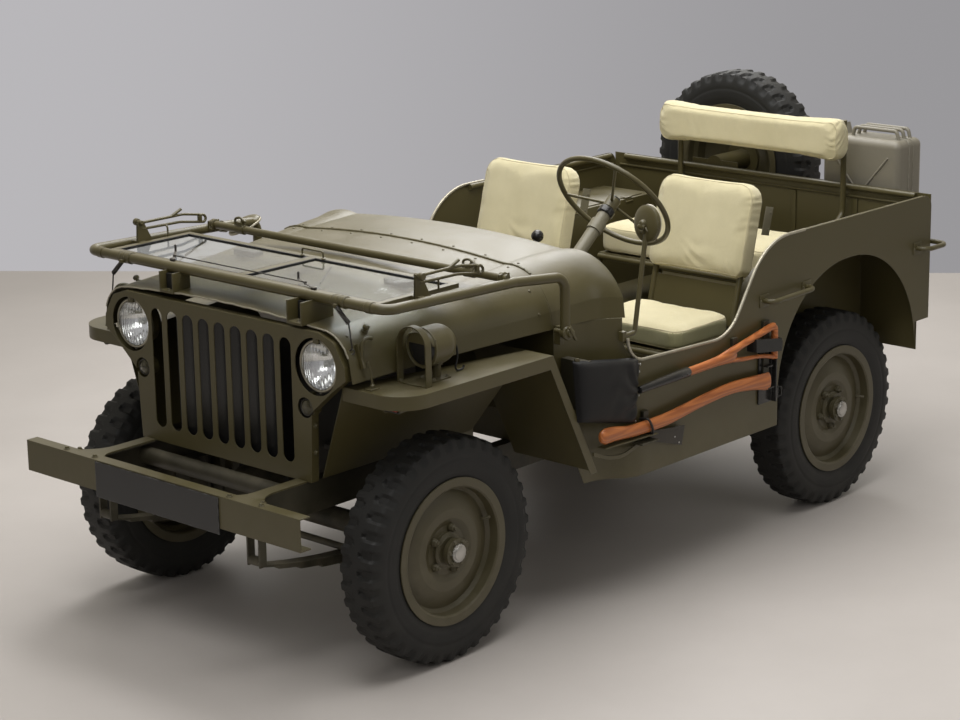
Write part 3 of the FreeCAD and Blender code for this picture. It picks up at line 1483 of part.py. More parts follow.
def seat_frame(side):
    """Bent tube frame of a front seat with its pan and its lower back plate."""
    tube = dim.seat_tube
    middle = side * dim.driver_side
    front = -dim.seat_front - 15 + ahead(side)
    rear = -dim.seat_front - dim.seat_length + ahead(side)
    level = dim.seat_low - tube - 4
    low, high = middle - seat_tube_gap, middle + seat_tube_gap
    loop = pipe([point(front, low, dim.floor_top), point(front, low, level), point(rear, low, level),
                 on_back(low, back_rise), on_back(high, back_rise),
                 point(rear, high, level), point(front, high, level),
                 point(front, high, dim.floor_top)], tube, 45)
    pieces = [loop]
    for at in (low, high):
        pieces.append(bar(point(rear + 110, at, level), point(rear + 110, at, dim.floor_top), tube))
    pieces.append(block((rear, front), (low, high), (dim.seat_low - 4.3, dim.seat_low - 0.3)))
    for x in (front, rear + 110):
        pieces.append(rod("y", (x, low, level), high - low, tube))
    foot, head = on_back(middle, 25), on_back(middle, dim.back_lift - 2)
    pieces.append(slab("xz", [(foot.x - 1.5, foot.z), (foot.x + 1.5, foot.z),
                              (head.x + 1.5, head.z), (head.x - 1.5, head.z)], low, high - low))
    return fused(*pieces)


def cushion(length, width, thickness, soft):
    """Padded block round its own lower front corner."""
    return rounded(block((0, length), (-width / 2, width / 2), (0, thickness)), soft)


def seat_cushions(side):
    """Seat cushion, and the back cushion that is slipped over the frame's tube."""
    middle = side * dim.driver_side
    rear = -dim.seat_front - dim.seat_length + ahead(side)
    seat = place(cushion(dim.seat_length, 2 * dim.seat_half, dim.seat_thick, 30),
                 rear, middle, dim.seat_low)
    turn = Rotation(Vector(0, 1, 0), -float(dim.back_lean))
    back = cushion(dim.back_thick, 2 * dim.seat_half, dim.back_height, 34)
    half = float(dim.back_thick) / 2
    foot = on_back(middle, dim.back_lift + half * math.sin(back_slope))
    back = place(back, foot.x - half * math.cos(back_slope), middle, dim.seat_low + dim.back_lift,
                 turn=turn)
    low, high = middle - seat_tube_gap, middle + seat_tube_gap
    sleeve = pipe([on_back(low, 60), on_back(low, back_rise), on_back(high, back_rise),
                   on_back(high, 60)], dim.seat_tube + 0.4, 45)
    return [seat, cut(back, sleeve)]


def bench_frame():
    """Frame of the rear seat with the posts of its backrest."""
    tube = dim.seat_tube
    front, rear = -dim.bench_front - 15, -dim.bench_front - dim.bench_length
    level = dim.bench_low - tube - 4
    half = dim.bench_half - 45
    pieces = []
    for sign in (-1, 1):
        at = sign * half
        post = -dim.rest_back + tube + 6
        pieces.append(pipe([point(front, at, dim.rear_floor_top), point(front, at, level),
                            point(rear - 20, at, level)], tube, 45))
        pieces.append(pipe([point(rear - 20, at, dim.rear_floor_top), point(rear - 20, at, level + 60),
                            point(post, at, level + 180),
                            point(post, at, dim.rest_low + dim.rest_height - 20)], tube, 40))
    pieces.append(block((rear, front), (-half, half), (dim.bench_low - 4.3, dim.bench_low - 0.3)))
    for x in (front, rear - 20):
        pieces.append(rod("y", (x, -half, level), 2 * half, tube))
    return fused(*pieces)


def bench_cushions():
    """Rear seat cushion and backrest cushion."""
    half = dim.bench_half
    seat = place(cushion(dim.bench_length, 2 * (half - 25), 110, 32),
                 -dim.bench_front - dim.bench_length, 0, dim.bench_low)
    front_gap = 2 * dim.seat_tube + 6.4
    rest = place(cushion(dim.rest_thick, 2 * half, dim.rest_height, 34),
                 -dim.rest_back + front_gap, 0, dim.rest_low)
    return [seat, rest]


node("front_seat_frames", grouped(seat_frame(1), seat_frame(-1)))
node("front_seat_cushions", grouped(*seat_cushions(1), *seat_cushions(-1)))
node("rear_seat_frame", bench_frame())
node("rear_seat_cushions", grouped(*bench_cushions()))


# Can and tools
def jerry_can():
    """Pressed steel can with three carrying bars and its filler cap."""
    front = -dim.can_front
    left, right = dim.can_side - dim.can_width / 2, dim.can_side + dim.can_width / 2
    shoulder = dim.can_low + dim.can_height - 40
    body = rounded(block((front - dim.can_thick, front), (left, right), (dim.can_low, shoulder)), 28)
    middle = front - dim.can_thick / 2
    pieces = [body]
    for shift in (-38, 0, 38):
        x = middle + shift
        top = dim.can_low + dim.can_height - 8
        pieces.append(pipe([point(x, left + 110, shoulder - 4), point(x, left + 120, top),
                            point(x, right - 40, top), point(x, right - 30, shoulder - 4)], 7, 16))
    cap = drawn(Part.makeCylinder(30, 46, point(middle, left + 52, shoulder - 12),
                                  Vector(0, -0.35, 1)))
    return fused(*pieces, cap)


def shovel():
    """Ash shaft of the shovel with its D grip."""
    out = tool_out
    start, end = point(-770.8, out, 707), point(-1500, out, 770)
    shaft = bar(start, end, 13)
    grip = pipe([end, point(-1530, out, 810), point(-1588, out, 815), point(-1588, out, 742),
                 point(-1530, out, 736), end + Vector(-2, 0, -1)], 8, 18)
    return fused(shaft, grip)


def tool_cover():
    """Padded cover over the shovel's blade."""
    out = tool_out
    return rounded(block((-769, -492), (out - 15, out + 19), (620, 862)), 12)


def tool_brackets():
    """Clips and shelf that hold the tools on the tub's side."""
    out = dim.body_half
    pieces = [
        block((-842, -818), (out + 0.3, tool_out - 12.4), (575, 628)),
        block((-1500, -1470), (out, tool_out - 13.4), (590, 800)),
        block((-1320, -1296), (out, tool_out - 13.4), (735, 775)),
        block((-860, -775), (out + 0.3, out + 44), (528, 532)),
        block((-560, -530), (663, tool_out - 15.3), (690, 850)),
    ]
    return grouped(*pieces)


node("jerry_can", jerry_can())
node("shovel", shovel())
node("axe_handle", bar(point(-604, tool_out, 590), point(-1512, tool_out, 608), 12))
node("tool_cover", tool_cover())
node("tool_brackets", tool_brackets())


# Check and write every sub-part
doc.recompute()
for item in doc.Objects:
    if "Invalid" in item.State or "Error" in item.State:
        raise RuntimeError(f"{item.Label} ({item.TypeId}) failed: {item.State}")
for label, item in nodes.items():
    if item.Shape.isNull() or not item.Shape.isValid() or not item.Shape.Solids:
        raise RuntimeError(f"{label} has no valid solid")
for label, item in nodes.items():
    item.Shape.exportStep(f"parts/{label}.step")
print(len(nodes), "sub-parts written")
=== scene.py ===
# %% [markdown]
# # An open army 4x4 car, dressed piece by piece
# The solids of the car come ready made: frame, axles, panels, seats and tools. This lesson gives
# each of them its paint, rubber, canvas or wood, and adds what is too fine for the solids:
# tyre lugs, sewn cushions, bolts, lamp glasses, straps and hooks. Every piece rides on the
# part of the car that carries it, so that it moves when a wheel turns or the windscreen is raised.

# %% Load the solids of the car
import math

import bmesh
import bpy
from mathutils import Matrix, Vector
from mathutils.bvhtree import BVHTree


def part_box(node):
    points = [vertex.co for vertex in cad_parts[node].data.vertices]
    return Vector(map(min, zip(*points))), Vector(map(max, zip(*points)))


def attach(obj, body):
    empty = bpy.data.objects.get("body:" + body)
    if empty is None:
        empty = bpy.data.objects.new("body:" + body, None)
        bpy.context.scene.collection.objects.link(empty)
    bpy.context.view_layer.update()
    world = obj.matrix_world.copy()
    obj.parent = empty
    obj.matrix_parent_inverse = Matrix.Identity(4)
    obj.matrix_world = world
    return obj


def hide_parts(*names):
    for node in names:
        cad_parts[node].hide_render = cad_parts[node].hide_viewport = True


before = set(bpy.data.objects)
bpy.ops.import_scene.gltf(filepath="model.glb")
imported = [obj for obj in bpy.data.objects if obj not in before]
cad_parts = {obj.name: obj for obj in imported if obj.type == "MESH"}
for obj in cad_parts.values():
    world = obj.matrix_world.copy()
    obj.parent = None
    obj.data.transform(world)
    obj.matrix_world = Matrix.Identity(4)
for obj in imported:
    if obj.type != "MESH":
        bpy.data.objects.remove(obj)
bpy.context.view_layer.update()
wheel_low, wheel_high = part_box("rim_front_left")
AXLE = (wheel_low.x + wheel_high.x) / 2


def car(x, y, z):
    """Point of the car, measured from the middle of the front axle on the floor."""
    return Vector((AXLE + x, y, z))


print("front axle stands at", round(AXLE, 4), "m; solids:", len(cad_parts))

# %% [markdown]
# ## The camera
# The photograph was taken with a long lens from the car's left front, a little above the hood.
# The camera is placed from its three axes, and the focal length is given for a 36 mm sensor.

# %% Camera
FOCAL_PIXELS, PHOTO_WIDTH, SENSOR_WIDTH = 2450.826, 960, 36
CAMERA_AT = car(5.1089, 5.5189, 2.818)
view_turn, view_tilt, view_roll = (math.radians(degrees) for degrees in (132.6959, 14.8372, -1.0143))
view_back = Vector((math.sin(view_turn) * math.cos(view_tilt),
                    -math.cos(view_turn) * math.cos(view_tilt), math.sin(view_tilt)))
view_right = Vector((math.cos(view_turn), math.sin(view_turn), 0))
view_up = view_back.cross(view_right)
right = view_right * math.cos(view_roll) + view_up * math.sin(view_roll)
up = view_up * math.cos(view_roll) - view_right * math.sin(view_roll)
camera_data = bpy.data.cameras.new("photo_camera")
camera_data.sensor_width = SENSOR_WIDTH
camera_data.lens = FOCAL_PIXELS / PHOTO_WIDTH * SENSOR_WIDTH
camera_data.clip_end = 200
camera = bpy.data.objects.new("photo_camera", camera_data)
bpy.context.scene.collection.objects.link(camera)
turn = Matrix((right, up, view_back)).transposed().to_4x4()
camera.matrix_world = Matrix.Translation(CAMERA_AT) @ turn
bpy.context.scene.camera = camera
print("lens", round(camera_data.lens, 1), "mm")

# %% [markdown]
# ## Studio light and floor
# The studio has a pale floor and a grey wall, lit by broad lamps overhead. Large area lamps give
# the soft streaks along the tubes. The world is told apart by kind of ray: the camera and glass
# see the grey wall, shiny surfaces see it brighter on the wall's side than on the dark side
# of the studio, and all other light from it is a low even fill.

# %% World, lamps and floor
scene = bpy.context.scene
scene.view_settings.view_transform = "Standard"


def put(tree, socket, value):
    """Link a socket to another, or set its value."""
    if isinstance(value, bpy.types.NodeSocket):
        tree.links.new(value, socket)
    else:
        socket.default_value = value


def wired(tree, kind, **values):
    """Add a shader node; a value that is a socket is linked, any other is set."""
    made = tree.nodes.new(kind)
    for name, value in values.items():
        if hasattr(made, name) and name not in made.inputs:
            setattr(made, name, value)
            continue
        numbered = name[0] == "i" and name[1:].isdigit()
        put(tree, made.inputs[int(name[1:]) if numbered else name.replace("_", " ")], value)
    return made


def sky_share(tree, along, low, high, first, last):
    """Value that runs from first to last as a direction turns from low to high along an axis."""
    towards = wired(tree, "ShaderNodeTexCoord").outputs["Generated"]
    share = wired(tree, "ShaderNodeVectorMath", operation="DOT_PRODUCT", i0=towards, i1=along)
    return wired(tree, "ShaderNodeMapRange", interpolation_type="SMOOTHSTEP", Value=share.outputs["Value"],
                 From_Min=low, From_Max=high, To_Min=first, To_Max=last).outputs["Result"]


world = bpy.data.worlds.new("studio")
scene.world = world
world.use_nodes = True
tree = world.node_tree
tree.nodes.clear()
path = wired(tree, "ShaderNodeLightPath")
seen = wired(tree, "ShaderNodeMath", operation="MAXIMUM", i0=path.outputs["Is Camera Ray"],
             i1=path.outputs["Is Transmission Ray"])
# The wall seen by the camera is painted lighter on the left and darker on the right: a painted fall of light across
# the backdrop.
wall = wired(tree, "ShaderNodeBackground", Color=(0.985, 0.965, 1.0, 1),
             Strength=sky_share(tree, right, -0.20, 0.20, 0.49, 0.32))
mirrored = wired(tree, "ShaderNodeBackground", Color=(1.0, 0.93, 0.80, 1),
                 Strength=sky_share(tree, -view_back, -0.5, 0.8, 0.10, 0.70))
fill = wired(tree, "ShaderNodeBackground", Color=(1.0, 0.97, 0.92, 1), Strength=0.25)
shiny = wired(tree, "ShaderNodeMixShader", Fac=path.outputs["Is Glossy Ray"])
tree.links.new(fill.outputs[0], shiny.inputs[1])
tree.links.new(mirrored.outputs[0], shiny.inputs[2])
pick = wired(tree, "ShaderNodeMixShader", Fac=seen.outputs[0])
tree.links.new(shiny.outputs[0], pick.inputs[1])
tree.links.new(wall.outputs[0], pick.inputs[2])
wired(tree, "ShaderNodeOutputWorld", Surface=pick.outputs[0])


def softbox(name, place, aim, width, length, power):
    """Area lamp at a place, aimed at a point."""
    data = bpy.data.lights.new(name, "AREA")
    data.shape = "RECTANGLE"
    data.size, data.size_y, data.energy = width, length, power
    lamp = bpy.data.objects.new(name, data)
    scene.collection.objects.link(lamp)
    lamp.location = place
    lamp.rotation_euler = (aim - place).to_track_quat("-Z", "Y").to_euler()


softbox("overhead", Vector((0.2, 0.2, 4.4)), Vector((0.1, 0.1, 0.6)), 3.2, 5.0, 245)
softbox("overhead_rear", Vector((-3.2, -2.4, 4.2)), Vector((-0.4, -0.2, 0.8)), 2.4, 3.6, 130)
softbox("front_fill", Vector((5.5, 2.0, 3.2)), Vector((0.6, 0.2, 0.6)), 2.6, 2.6, 34)
softbox("left_fill", Vector((-0.5, 6.0, 3.0)), Vector((-0.3, 0.3, 0.6)), 3.2, 2.2, 26)
print("four soft lamps")

# %% [markdown]
# ## Small helpers for shader trees
# Each finish below is a tree of shader nodes. A mix of two colours, a sum of two values and a
# colour ramp come up again and again, so each gets a short helper that returns the socket to
# link onward.

# %% Shader helpers
def mixed(tree, share, first, second, blend="MIX"):
    """Colour between two others."""
    made = wired(tree, "ShaderNodeMix", data_type="RGBA", blend_type=blend, i0=share, i6=first, i7=second)
    return made.outputs[2]


def sum_of(tree, kind, *values):
    """One value from two or three others."""
    made = wired(tree, "ShaderNodeMath", operation=kind)
    for socket, value in zip(made.inputs, values):
        put(tree, socket, value)
    return made.outputs[0]


def stepped(tree, value, low, high, dark=0.0, light=1.0):
    """Value carried from one range to another, with soft ends."""
    made = wired(tree, "ShaderNodeMapRange", interpolation_type="SMOOTHSTEP", Value=value,
                 From_Min=low, From_Max=high, To_Min=dark, To_Max=light)
    return made.outputs[0]


def own_place(tree):
    """Place on the piece, in metres of its own frame."""
    return wired(tree, "ShaderNodeTexCoord").outputs["Object"]


def noise(tree, vector, scale, detail=4.0, rough=0.55):
    """Cloudy value between 0 and 1."""
    made = wired(tree, "ShaderNodeTexNoise", Vector=vector, Scale=scale, Detail=detail, Roughness=rough)
    return made.outputs["Fac"]


def new_group(name, inputs, outputs):
    """Shader node group with named sockets; gives its tree, its inputs and its outputs."""
    tree = bpy.data.node_groups.new(name, "ShaderNodeTree")
    for label, kind, value in inputs:
        socket = tree.interface.new_socket(label, in_out="INPUT", socket_type="NodeSocket" + kind)
        if kind != "Vector":
            socket.default_value = value
    for label, kind in outputs:
        tree.interface.new_socket(label, in_out="OUTPUT", socket_type="NodeSocket" + kind)
    enter = tree.nodes.new("NodeGroupInput")
    leave = tree.nodes.new("NodeGroupOutput")
    return tree, enter.outputs, leave.inputs


def placed(tree, group, **values):
    """Place a node group in a tree."""
    made = tree.nodes.new("ShaderNodeGroup")
    made.node_tree = bpy.data.node_groups[group]
    for name, value in values.items():
        put(tree, made.inputs[name.replace("_", " ")], value)
    return made.outputs


def new_finish(name, **values):
    """Empty material with its Principled shader joined to the output."""
    made = bpy.data.materials.new(name)
    made.use_nodes = True
    tree = made.node_tree
    tree.nodes.clear()
    shader = wired(tree, "ShaderNodeBsdfPrincipled", **values)
    wired(tree, "ShaderNodeOutputMaterial", Surface=shader.outputs[0])
    return made, tree, shader


def feed(tree, shader, **values):
    """Link sockets to a shader's inputs."""
    for name, value in values.items():
        tree.links.new(value, shader.inputs[name.replace("_", " ")])


print("shader helpers ready")

# %% [markdown]
# ## Effects that many finishes share
# Paint on a working car is never one even colour. Its edges are rubbed and catch the light, its flat tops hold dust,
# and the film itself has a fine ripple from the spray gun. Each effect is a node group, built
# once, so that every finish can use it at its own strength.
# Rubbed edges compare the true normal with one that is rounded over a small radius: they differ
# only near an edge. There the colour is made lighter, partly as rubbed paint and partly as a painted highlight.

# %% Node group: rubbed edges and painted highlight
tree, into, out = new_group("rubbed_edges_and_highlight", [("Radius", "Float", 0.004), ("Strength", "Float", 1.0)],
                            [("Mask", "Float"), ("Normal", "Vector")])
rounded = wired(tree, "ShaderNodeBevel", samples=3, Radius=into["Radius"])
plain = wired(tree, "ShaderNodeNewGeometry")
likeness = wired(tree, "ShaderNodeVectorMath", operation="DOT_PRODUCT", i0=rounded.outputs[0],
                 i1=plain.outputs["Normal"])
broken = noise(tree, own_place(tree), 38.0, 5.0, 0.65)
edge = stepped(tree, likeness.outputs["Value"], 0.995, 0.86)
edge = sum_of(tree, "MULTIPLY", edge, stepped(tree, broken, 0.42, 0.62))
tree.links.new(sum_of(tree, "MULTIPLY", edge, into["Strength"]), out["Mask"])
tree.links.new(rounded.outputs[0], out["Normal"])

# %% Node group: patchy tone
tree, into, out = new_group("patchy_tone", [("Scale", "Float", 3.0), ("Contrast", "Float", 0.5)],
                            [("Value", "Float")])
broad = noise(tree, own_place(tree), into["Scale"], 3.0)
fine = noise(tree, own_place(tree), 55.0, 6.0, 0.7)
value = sum_of(tree, "ADD", sum_of(tree, "MULTIPLY", broad, 0.7), sum_of(tree, "MULTIPLY", fine, 0.3))
value = sum_of(tree, "MULTIPLY_ADD", sum_of(tree, "SUBTRACT", value, 0.5), into["Contrast"], 0.5)
tree.links.new(value, out["Value"])

# %% Node group: settled dust
tree, into, out = new_group("settled_dust", [("Top Dust", "Float", 0.3), ("Road Dirt", "Float", 0.5)],
                            [("Mask", "Float")])
facing = wired(tree, "ShaderNodeSeparateXYZ", Vector=wired(tree, "ShaderNodeNewGeometry").outputs["Normal"])
height = wired(tree, "ShaderNodeSeparateXYZ", Vector=own_place(tree))
cloud = noise(tree, own_place(tree), 9.0, 6.0, 0.62)
on_top = sum_of(tree, "MULTIPLY", stepped(tree, facing.outputs[2], 0.35, 0.98), into["Top Dust"])
splashed = sum_of(tree, "MULTIPLY", stepped(tree, height.outputs[2], 0.72, 0.12), into["Road Dirt"])
mask = sum_of(tree, "MULTIPLY", sum_of(tree, "ADD", on_top, splashed), stepped(tree, cloud, 0.3, 0.72))
tree.links.new(mask, out["Mask"])

# %% Node group: sprayed film
tree, into, out = new_group("sprayed_film", [("Ripple", "Float", 1.0), ("Grit", "Float", 0.3)],
                            [("Height", "Float")])
ripple = sum_of(tree, "MULTIPLY", noise(tree, own_place(tree), 260.0, 2.0), into["Ripple"])
grit = sum_of(tree, "MULTIPLY", noise(tree, own_place(tree), 1400.0, 2.0), into["Grit"])
dents = sum_of(tree, "MULTIPLY", noise(tree, own_place(tree), 6.0, 1.0), 6.0)
tree.links.new(sum_of(tree, "ADD", sum_of(tree, "ADD", ripple, grit), dents), out["Height"])

# %% Node group: woven cloth
tree, into, out = new_group("woven_cloth", [("Threads", "Float", 900.0), ("Slubs", "Float", 0.5)],
                            [("Height", "Float"), ("Tone", "Float")])
lines = []
for axis in ("X", "Y", "Z"):
    wave = wired(tree, "ShaderNodeTexWave", wave_type="BANDS", bands_direction=axis,
                 Vector=own_place(tree), Scale=into["Threads"], Distortion=0.6,
                 Detail=1.0, Detail_Scale=2.0)
    lines.append(wave.outputs["Fac"])
facing = wired(tree, "ShaderNodeSeparateXYZ",
               Vector=wired(tree, "ShaderNodeVectorMath", operation="ABSOLUTE",
                            i0=wired(tree, "ShaderNodeNewGeometry").outputs["Normal"]).outputs[0])
woven = 0.0
for axis, line in enumerate(lines):
    share = sum_of(tree, "SUBTRACT", 1.0, stepped(tree, facing.outputs[axis], 0.55, 0.85))
    woven = sum_of(tree, "ADD", woven, sum_of(tree, "MULTIPLY", line, share))
slub = noise(tree, own_place(tree), 180.0, 3.0, 0.7)
woven = sum_of(tree, "ADD", sum_of(tree, "MULTIPLY", woven, 0.5), sum_of(tree, "MULTIPLY", slub, into["Slubs"]))
tree.links.new(woven, out["Height"])
tree.links.new(sum_of(tree, "ADD", sum_of(tree, "MULTIPLY", woven, 0.4),
                      noise(tree, own_place(tree), 11.0, 4.0)), out["Tone"])

# %% Node group: long grain
tree, into, out = new_group("long_grain", [("Scale", "Float", 30.0)], [("Value", "Float")])
stretch = wired(tree, "ShaderNodeMapping", Vector=own_place(tree))
stretch.inputs["Scale"].default_value = (0.09, 1.0, 1.0)
rings = wired(tree, "ShaderNodeTexWave", wave_type="RINGS", Vector=stretch.outputs[0],
              Scale=into["Scale"], Distortion=5.0, Detail=3.0, Detail_Scale=1.5)
streak = noise(tree, stretch.outputs[0], 210.0, 5.0, 0.7)
tree.links.new(sum_of(tree, "ADD", sum_of(tree, "MULTIPLY", rings.outputs["Fac"], 0.55),
                      sum_of(tree, "MULTIPLY", streak, 0.45)), out["Value"])
print("groups:", [group.name for group in bpy.data.node_groups])

# %% [markdown]
# ## Painted and bare metal
# The whole body, frame and wheels are sprayed with one semi-matte olive paint. A single function
# builds such a finish, because parts differ only in tone, gloss, dust, edge wear with painted highlight,
# and painted shade. The Principled shader and its fixed values stay in the material; the groups feed
# its colour, roughness and normal.

# %% Metal finishes
def rgb(red, green, blue):
    return (red, green, blue, 1.0)


def metal_finish(name, dark, light, rough=0.42, metallic=0.0, edge=rgb(0.2, 0.18, 0.12), edge_wear_and_highlight=0.5,
                 radius=0.003, top_dust=0.3, road=0.35, dust=rgb(0.19, 0.165, 0.11), bump=0.0002,
                 ripple=1.0, grit=0.3, scale=3.0, contrast=0.9):
    """Material of painted or bare metal with edges lightened as wear and painted highlight, and settled dust."""
    made, tree, shader = new_finish(name, Metallic=metallic)
    tone = placed(tree, "patchy_tone", Scale=scale, Contrast=contrast)["Value"]
    edges = placed(tree, "rubbed_edges_and_highlight", Radius=radius, Strength=edge_wear_and_highlight)
    dirt = placed(tree, "settled_dust", Top_Dust=top_dust, Road_Dirt=road)["Mask"]
    colour = mixed(tree, tone, dark, light)
    # Edges take the edge colour: rubbed paint and a painted highlight together.
    colour = mixed(tree, edges["Mask"], colour, edge)
    colour = mixed(tree, dirt, colour, dust)
    gloss = sum_of(tree, "MULTIPLY_ADD", tone, 0.16, rough - 0.08)
    gloss = sum_of(tree, "MULTIPLY_ADD", dirt, 0.35, gloss)
    film = placed(tree, "sprayed_film", Ripple=ripple, Grit=grit)["Height"]
    relief = wired(tree, "ShaderNodeBump", Strength=1.0, Distance=bump, Height=film, Normal=edges["Normal"])
    feed(tree, shader, Base_Color=colour, Roughness=gloss, Normal=relief.outputs[0])
    return made


olive = metal_finish("olive_paint", rgb(0.064, 0.053, 0.020), rgb(0.083, 0.069, 0.027), rough=0.36)
# The body's olive made about three times darker: painted shade on the frame, springs, axles, tank and brackets, with
# road dirt on top.
olive_under_painted_shade = metal_finish("underside_painted_shade", rgb(0.018, 0.0155, 0.0085), rgb(0.032, 0.028, 0.015), rough=0.5,
                           road=0.7)
rim_paint = metal_finish("rim_paint", rgb(0.058, 0.049, 0.023), rgb(0.074, 0.062, 0.030), rough=0.42,
                         road=0.25, top_dust=0.15)
column_paint = metal_finish("column_paint", rgb(0.15, 0.135, 0.09), rgb(0.185, 0.167, 0.11), rough=0.36)
cast_metal = metal_finish("cast_metal", rgb(0.10, 0.095, 0.085), rgb(0.17, 0.16, 0.145), rough=0.6,
                          metallic=0.55, bump=0.0005, grit=1.5, road=0.6)
dark_steel = metal_finish("dark_steel", rgb(0.03, 0.028, 0.025), rgb(0.065, 0.058, 0.05), rough=0.45,
                          metallic=0.5, edge=rgb(0.3, 0.29, 0.27), edge_wear_and_highlight=0.7)
bare_steel = metal_finish("bare_steel", rgb(0.42, 0.41, 0.39), rgb(0.56, 0.55, 0.52), rough=0.34,
                          metallic=0.95, edge=rgb(0.7, 0.69, 0.66), edge_wear_and_highlight=0.5)
# Bright metal for rims and rolled edges: partly real wear, partly a painted highlight where edges catch the light.
worn_edge_and_highlight = metal_finish("worn_and_highlight_edge", rgb(0.30, 0.27, 0.20), rgb(0.48, 0.45, 0.36), rough=0.36,
                         metallic=0.6, scale=24.0, contrast=1.6)
can_steel = metal_finish("can_paint", rgb(0.16, 0.145, 0.11), rgb(0.22, 0.20, 0.155), rough=0.42,
                         edge=rgb(0.4, 0.38, 0.33), edge_wear_and_highlight=0.8)
black_plate = metal_finish("black_plate", rgb(0.012, 0.012, 0.012), rgb(0.02, 0.02, 0.02), rough=0.24,
                           edge=rgb(0.4, 0.4, 0.4), edge_wear_and_highlight=0.6, top_dust=0.1, road=0.02)
black_enamel = metal_finish("black_enamel", rgb(0.010, 0.010, 0.010), rgb(0.02, 0.019, 0.018), rough=0.22,
                            edge=rgb(0.12, 0.12, 0.11), top_dust=0.15, road=0.1)
print("metal finishes:", len(bpy.data.materials))

# %% [markdown]
# ## Rubber, canvas, wood and covers
# Tyres are near black with a grey bloom and pale dust in the grooves. The seats are of heavy pale
# canvas, the shovel is of oiled ash, and its blade is in a black cover. Each has its own relief at
# its own scale, so each tree is written out here.

# %% Soft finishes
def soft_finish(name, dark, light, rough, threads=0.0, bump=0.0004, sheen=0.0, slubs=0.5, dust=0.2,
                road=0.1, dust_tone=rgb(0.24, 0.21, 0.16), shine=0.5):
    """Material of rubber, cloth or coated cloth."""
    made, tree, shader = new_finish(name, Sheen_Weight=sheen, Sheen_Roughness=0.5, Specular_IOR_Level=shine)
    tone = placed(tree, "patchy_tone", Scale=6.0, Contrast=1.0)["Value"]
    if threads:
        cloth = placed(tree, "woven_cloth", Threads=threads, Slubs=slubs)
        height = cloth["Height"]
        tone = sum_of(tree, "MULTIPLY_ADD", sum_of(tree, "SUBTRACT", cloth["Tone"], 0.7), 0.6, tone)
    else:
        height = placed(tree, "sprayed_film", Ripple=0.6, Grit=1.2)["Height"]
    dirt = placed(tree, "settled_dust", Top_Dust=dust, Road_Dirt=road)["Mask"]
    colour = mixed(tree, tone, dark, light)
    colour = mixed(tree, dirt, colour, dust_tone)
    relief = wired(tree, "ShaderNodeBump", Strength=0.9, Distance=bump, Height=height)
    feed(tree, shader, Base_Color=colour, Roughness=sum_of(tree, "MULTIPLY_ADD", tone, 0.12, rough - 0.06),
         Normal=relief.outputs[0])
    return made


rubber = soft_finish("tyre_rubber", rgb(0.009, 0.009, 0.0085), rgb(0.02, 0.0195, 0.018), 0.62,
                     dust=0.08, road=0.12, dust_tone=rgb(0.09, 0.082, 0.066), shine=0.35)
canvas = soft_finish("seat_canvas", rgb(0.58, 0.51, 0.29), rgb(0.76, 0.68, 0.43), 0.85, threads=420.0,
                     bump=0.0005, sheen=0.25, dust=0.05, road=0.0)
canvas_edge = soft_finish("canvas_binding", rgb(0.50, 0.43, 0.25), rgb(0.66, 0.58, 0.36), 0.85,
                          threads=520.0, bump=0.0004, sheen=0.2, dust=0.05, road=0.0)
# The same canvas made darker for the cushions' sides and undersides: painted shade.
canvas_painted_shade = soft_finish("canvas_painted_shade", rgb(0.26, 0.25, 0.12), rgb(0.40, 0.37, 0.20), 0.85,
                          threads=420.0, bump=0.0005, sheen=0.15, dust=0.03, road=0.0)
cover_cloth = soft_finish("black_cover", rgb(0.003, 0.003, 0.0034), rgb(0.006, 0.006, 0.0068), 0.40,
                          threads=650.0, bump=0.0002, dust=0.01, road=0.0, shine=0.3)
black_rubber = soft_finish("black_rubber", rgb(0.006, 0.006, 0.006), rgb(0.013, 0.013, 0.012), 0.5)

wood, tree, shader = new_finish("oiled_ash", Coat_Weight=0.25, Coat_Roughness=0.3)
grain = placed(tree, "long_grain", Scale=34.0)["Value"]
tone = placed(tree, "patchy_tone", Scale=7.0, Contrast=1.0)["Value"]
colour = mixed(tree, grain, rgb(0.26, 0.065, 0.014), rgb(0.60, 0.20, 0.048))
colour = mixed(tree, sum_of(tree, "MULTIPLY", tone, 0.35), colour, rgb(0.32, 0.082, 0.018))
relief = wired(tree, "ShaderNodeBump", Strength=0.5, Distance=0.0004, Height=grain)
feed(tree, shader, Base_Color=colour, Roughness=sum_of(tree, "MULTIPLY_ADD", grain, 0.15, 0.34),
     Normal=relief.outputs[0])

# %% [markdown]
# ## Glass and lamp lenses
# Window panes are clear with a faint green tint and a little dust. A lamp lens is moulded glass
# with fine flutes, which a bump from a wave texture gives. Metallic and transmission are set
# on the shader itself, as the export needs them plain.

# %% Glass
def glass_finish(name, tint, rough, flutes=0.0, clear=1.0):
    """Material of glass or a coloured lens."""
    made, tree, shader = new_finish(name, Transmission_Weight=clear, IOR=1.45)
    smear = noise(tree, own_place(tree), 14.0, 5.0, 0.7)
    dusty = rgb(*(0.93 * part for part in tint[:3]))
    feed(tree, shader, Base_Color=mixed(tree, stepped(tree, smear, 0.35, 0.75), tint, dusty),
         Roughness=stepped(tree, smear, 0.4, 0.8, rough, rough + 0.12))
    if flutes:
        wave = wired(tree, "ShaderNodeTexWave", wave_type="BANDS", bands_direction="Y",
                     Vector=own_place(tree), Scale=flutes)
        relief = wired(tree, "ShaderNodeBump", Strength=0.8, Distance=0.001, Height=wave.outputs["Fac"])
        feed(tree, shader, Normal=relief.outputs[0])
    return made


